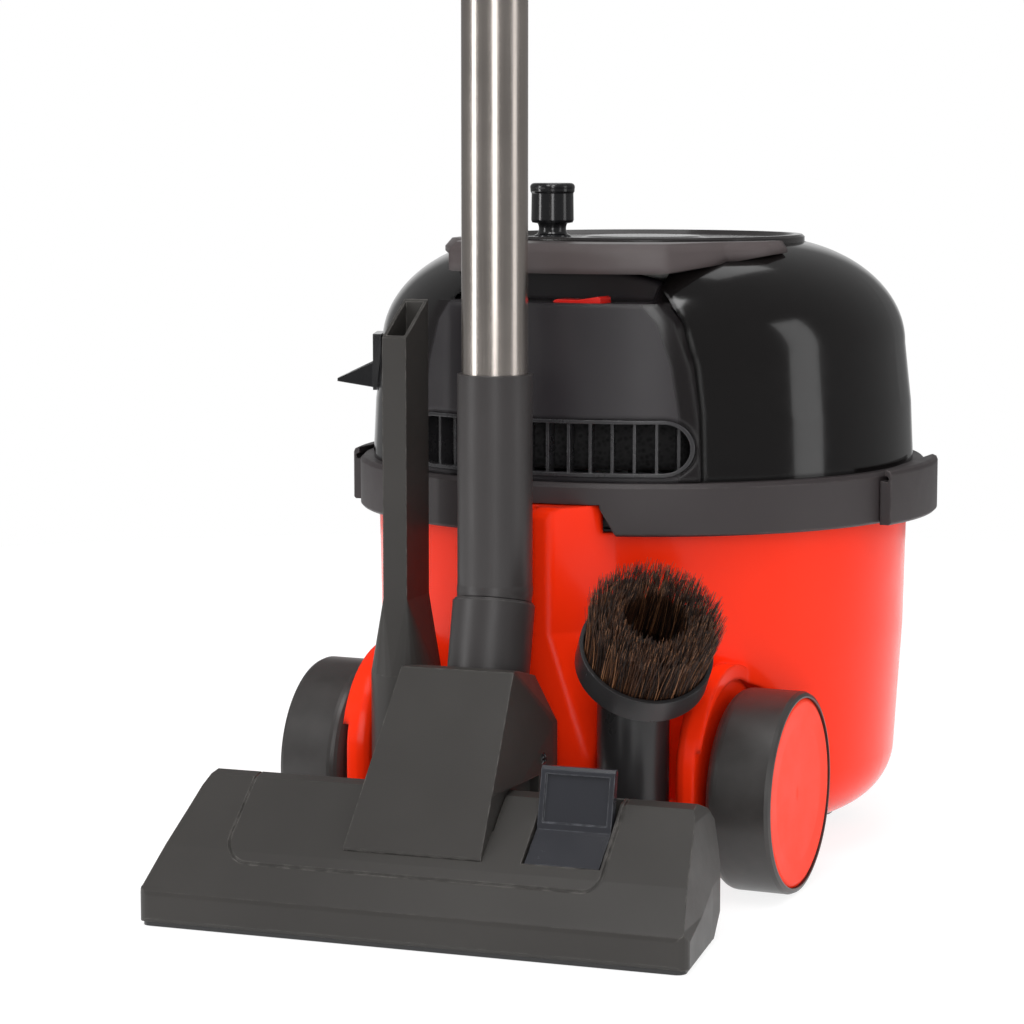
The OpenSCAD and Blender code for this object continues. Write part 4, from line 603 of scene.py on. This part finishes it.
def dust_bag():
    """Full paper bag: the CAD bag inflated by a short cloth run, with its moves capped."""
    source = NODES["dust_bag"]
    mesh = source.data.copy()
    bag = bpy.data.objects.new("paper_bag", mesh)
    scene.collection.objects.link(bag)
    mesh.materials.clear()
    mesh.materials.append(BAG)
    remesh = bag.modifiers.new("remesh", "REMESH")
    remesh.mode = "VOXEL"
    remesh.voxel_size = BAG_VOXEL
    apply_modifier(bag, remesh)
    start = np.empty(len(bag.data.vertices) * 3)
    bag.data.vertices.foreach_get("co", start)
    start = start.reshape(-1, 3)
    normals = np.array([v.normal[:] for v in bag.data.vertices])
    start = start - normals * BAG_INSET
    bag.data.vertices.foreach_set("co", start.ravel())
    cloth = bag.modifiers.new("cloth", "CLOTH")
    cloth.settings.quality = 5
    cloth.settings.use_pressure = True
    cloth.settings.uniform_pressure_force = 3.0
    cloth.settings.tension_stiffness = 40
    cloth.settings.bending_stiffness = 1.5
    cloth.settings.effector_weights.gravity = 0
    cloth.settings.shrink_min = -0.05
    cloth.point_cache.frame_start = 1
    cloth.point_cache.frame_end = BAG_FRAMES
    for f in range(1, BAG_FRAMES + 1):
        scene.frame_set(f)
    apply_modifier(bag, cloth)
    end = np.empty(len(bag.data.vertices) * 3)
    bag.data.vertices.foreach_get("co", end)
    move = end.reshape(-1, 3) - start
    size = np.linalg.norm(move, axis=1, keepdims=True)
    move *= np.minimum(1.0, BAG_CAP / np.maximum(size, 1e-9))
    bag.data.vertices.foreach_set("co", (start + move).ravel())
    scene.frame_set(1)
    bag.data.polygons.foreach_set("use_smooth", [True] * len(bag.data.polygons))
    bag.data.update()
    return bag


def apply_modifier(obj, modifier):
    bpy.context.view_layer.objects.active = obj
    for o in bpy.context.selected_objects:
        o.select_set(False)
    obj.select_set(True)
    bpy.ops.object.modifier_apply(modifier=modifier.name)


bag = dust_bag()
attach(bag, "tub")
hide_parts("dust_bag")


# ------------------------------------------------------------------ small fasteners

def screw(name, place, axis, radius, body, material=None):
    """Cross-head screw: domed head with a cross recess."""
    turn = Matrix.Translation(place) @ axis.normalized().to_track_quat("Z", "Y").to_matrix().to_4x4()
    bm = bmesh.new()
    rings = [(0.35, 0.52), (0.6, 0.42), (0.82, 0.25), (0.95, 0.08), (1.0, -0.1), (1.0, -0.5)]
    n = 32
    grid = []
    for r, h in rings:
        row = []
        for k in range(n):
            a = math.tau * k / n
            dx, dy = r * math.cos(a), r * math.sin(a)
            cut = 0.3 if (min(abs(dx), abs(dy)) < 0.12 and r < 0.7) else 0.0
            row.append(bm.verts.new(turn @ Vector((dx * radius, dy * radius, (h - cut) * radius))))
        grid.append(row)
    centre = bm.verts.new(turn @ Vector((0, 0, 0.22 * radius)))
    for k in range(n):
        bm.faces.new((centre, grid[0][k], grid[0][(k + 1) % n]))
    for a, b in zip(grid, grid[1:]):
        for k in range(n):
            bm.faces.new((a[k], b[k], b[(k + 1) % n], a[(k + 1) % n]))
    bm.faces.new(list(reversed(grid[-1])))
    mesh = bpy.data.meshes.new(name)
    bm.to_mesh(mesh)
    bm.free()
    mesh.materials.append(material or KNOB)
    obj = bpy.data.objects.new(name, mesh)
    scene.collection.objects.link(obj)
    for p in mesh.polygons:
        p.use_smooth = True
    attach(obj, body)
    return obj


def on_surface(node, start, direction):
    """Where a ray from start meets a CAD node, and the surface's normal there."""
    hit, place, normal, _ = NODES[node].ray_cast(start, direction)
    if not hit:
        raise SystemExit("no surface of " + node + " there")
    return place, normal


def tool_point(x, v, z):
    """Point of the floor tool's own frame, in millimetres, in the shared frame."""
    return TOOL @ (Vector((x, v, z)) * MM)


# Radius of the screw heads and how far they are sunk, in metres
NECK_SCREW_R, NECK_SCREW_SINK = 0.0033, 0.0004
SOLE_SCREW_R, SOLE_SCREW_SINK = 0.0026, 0.0012
across = TOOL.to_3x3() @ Vector((1, 0, 0))
for name, side in (("neck_screw_right", 1), ("neck_screw_left", -1)):
    place, normal = on_surface("neck_housing", tool_point(60 * side, 97, 73), across * -side)
    screw(name, place - normal * NECK_SCREW_SINK, normal, NECK_SCREW_R, "neck")
for i, x in enumerate((-92, -32, 32, 92)):
    place, normal = on_surface("sole_plate", tool_point(x, 40, -20), Vector((0, 0, 1)))
    seat = place + normal * 0.0001 + Vector((0, 0, SOLE_SCREW_SINK))
    screw(f"sole_screw_{i + 1}", seat, normal, SOLE_SCREW_R, "nozzle", STEEL)


def foam_mat():
    """Dark open-cell foam behind the exhaust bars: a curved mat with soft edges."""
    g = Graph("exhaust_foam")
    cells = g.node("ShaderNodeTexVoronoi")
    cells.inputs["Scale"].default_value = 420
    g.link(g.coords(), cells.inputs["Vector"])
    colour = g.ramp(cells.outputs["Distance"], [(0.15, lin(12, 12, 13)), (0.6, lin(34, 33, 34))])
    g.shader(colour, 0.95, g.bump(cells.outputs["Distance"], 0.8, 0.0008))
    verts, faces = [], []
    n, m, r_out, r_in, z0, z1 = 40, 10, 134.0, 128.0, 206.0, 233.0
    half_angle, end_squeeze = 31, 0.55
    for i in range(n + 1):
        a = math.radians(-90 - half_angle + 2 * half_angle * i / n)
        close = 1.0 if 0 < i < n else end_squeeze
        for r, side in ((r_out, 1), (r_in, -1)):
            for k in range(m + 1):
                t = k / m if side > 0 else 1 - k / m
                soft = 1.6 * (abs(t - 0.5) * 2) ** 6
                rr = (r_out + r_in) / 2 + ((r_out - r_in) / 2 - soft) * side * close
                verts.append(tub(rr * math.cos(a), rr * math.sin(a), z0 + (z1 - z0) * t))
    ring = 2 * (m + 1)
    for i in range(n):
        for k in range(ring):
            a, b = i * ring + k, i * ring + (k + 1) % ring
            faces.append((a, b, b + ring, a + ring))
    faces.append(tuple(range(ring - 1, -1, -1)))
    faces.append(tuple(n * ring + k for k in range(ring)))
    mat = new_piece("exhaust_foam", verts, faces, [g.mat], "head")


foam_mat()


# ------------------------------------------------------------------ floor and lights

def any_ray(nodes, links, *names):
    """1 for a ray of one of the named kinds."""
    path = nodes.new("ShaderNodeLightPath")
    total = path.outputs[names[0]]
    for name in names[1:]:
        top = nodes.new("ShaderNodeMath")
        top.operation = "MAXIMUM"
        links.new(total, top.inputs[0])
        links.new(path.outputs[name], top.inputs[1])
        total = top.outputs[0]
    return total


def floor_piece():
    """Pale round floor that stays near white to the eye and keeps the machine's shadow."""
    below = 0.0005
    bpy.ops.mesh.primitive_circle_add(vertices=128, radius=1.3, fill_type="NGON", location=(0, 0, -below))
    floor = bpy.context.object
    floor.name = "floor"
    g = Graph("floor_pale")
    pale = g.node("ShaderNodeBsdfDiffuse")
    pale.inputs["Color"].default_value = (0.85, 0.85, 0.85, 1)
    thin = g.node("ShaderNodeBsdfDiffuse")
    thin.inputs["Color"].default_value = (0.24, 0.24, 0.24, 1)
    glow = g.node("ShaderNodeEmission")
    glow.inputs["Color"].default_value = (1, 1, 1, 1)
    glow.inputs["Strength"].default_value = 0.84
    both = g.node("ShaderNodeAddShader")
    g.link(thin.outputs[0], both.inputs[0])
    g.link(glow.outputs[0], both.inputs[1])
    pick = g.node("ShaderNodeMixShader")
    seen = any_ray(g.tree.nodes, g.tree.links, "Is Camera Ray", "Is Glossy Ray", "Is Transmission Ray")
    g.link(seen, pick.inputs["Fac"])
    g.link(pale.outputs[0], pick.inputs[1])
    g.link(both.outputs[0], pick.inputs[2])
    g.link(pick.outputs[0], g.out.inputs["Surface"])
    floor.data.materials.append(g.mat)


floor_piece()


def studio_world():
    """White to the camera; reflections see a bright patch behind the machine in a dim room."""
    world = bpy.data.worlds.new("studio")
    scene.world = world
    world.use_nodes = True
    nodes, links = world.node_tree.nodes, world.node_tree.links
    nodes.clear()

    def background(strength):
        n = nodes.new("ShaderNodeBackground")
        n.inputs["Color"].default_value = (1, 1, 1, 1)
        n.inputs["Strength"].default_value = strength
        return n

    fill, white, room = background(0.85), background(1.0), background(1.0)
    way = nodes.new("ShaderNodeTexCoord")
    dot = nodes.new("ShaderNodeVectorMath")
    dot.operation = "DOT_PRODUCT"
    links.new(way.outputs["Generated"], dot.inputs[0])
    dot.inputs[1].default_value = (-0.397, 0.918, 0.0)
    sweep = nodes.new("ShaderNodeMapRange")
    for key, value in (("From Min", 0.93), ("From Max", 1.0), ("To Min", 0.20), ("To Max", 0.8)):
        sweep.inputs[key].default_value = value
    links.new(dot.outputs["Value"], sweep.inputs["Value"])
    links.new(sweep.outputs["Result"], room.inputs["Strength"])
    last = fill.outputs[0]
    for kind, shader in (("Is Glossy Ray", room), ("Is Transmission Ray", white), ("Is Camera Ray", white)):
        mix = nodes.new("ShaderNodeMixShader")
        links.new(any_ray(nodes, links, kind), mix.inputs["Fac"])
        links.new(last, mix.inputs[1])
        links.new(shader.outputs[0], mix.inputs[2])
        last = mix.outputs[0]
    out = nodes.new("ShaderNodeOutputWorld")
    links.new(last, out.inputs["Surface"])


studio_world()


LIGHT_TARGET = Vector((0, 0, 0.2))


def area_light(name, azimuth, elevation, distance, width, height, power):
    """Soft box on a sphere round the machine; azimuth 0 stands on -Y, 90 on +X."""
    a, e = math.radians(azimuth), math.radians(elevation)
    place = LIGHT_TARGET + distance * Vector(
        (math.sin(a) * math.cos(e), -math.cos(a) * math.cos(e), math.sin(e)))
    data = bpy.data.lights.new(name, "AREA")
    data.shape = "RECTANGLE"
    data.size, data.size_y = width, height
    data.energy = power
    obj = bpy.data.objects.new(name, data)
    obj.location = place
    obj.rotation_euler = (LIGHT_TARGET - place).to_track_quat("-Z", "Y").to_euler()
    scene.collection.objects.link(obj)


area_light("key_left", -50, 14, 2.6, 0.4, 2.0, 15)
area_light("strip_right", 94, 14, 2.6, 0.7, 2.0, 6)
area_light("front", 23, 14, 3.2, 0.7, 2.0, 16)
area_light("top", 10, 66, 2.2, 1.3, 1.0, 20)
area_light("rim_back", 190, 62, 2.4, 1.2, 1.0, 4)
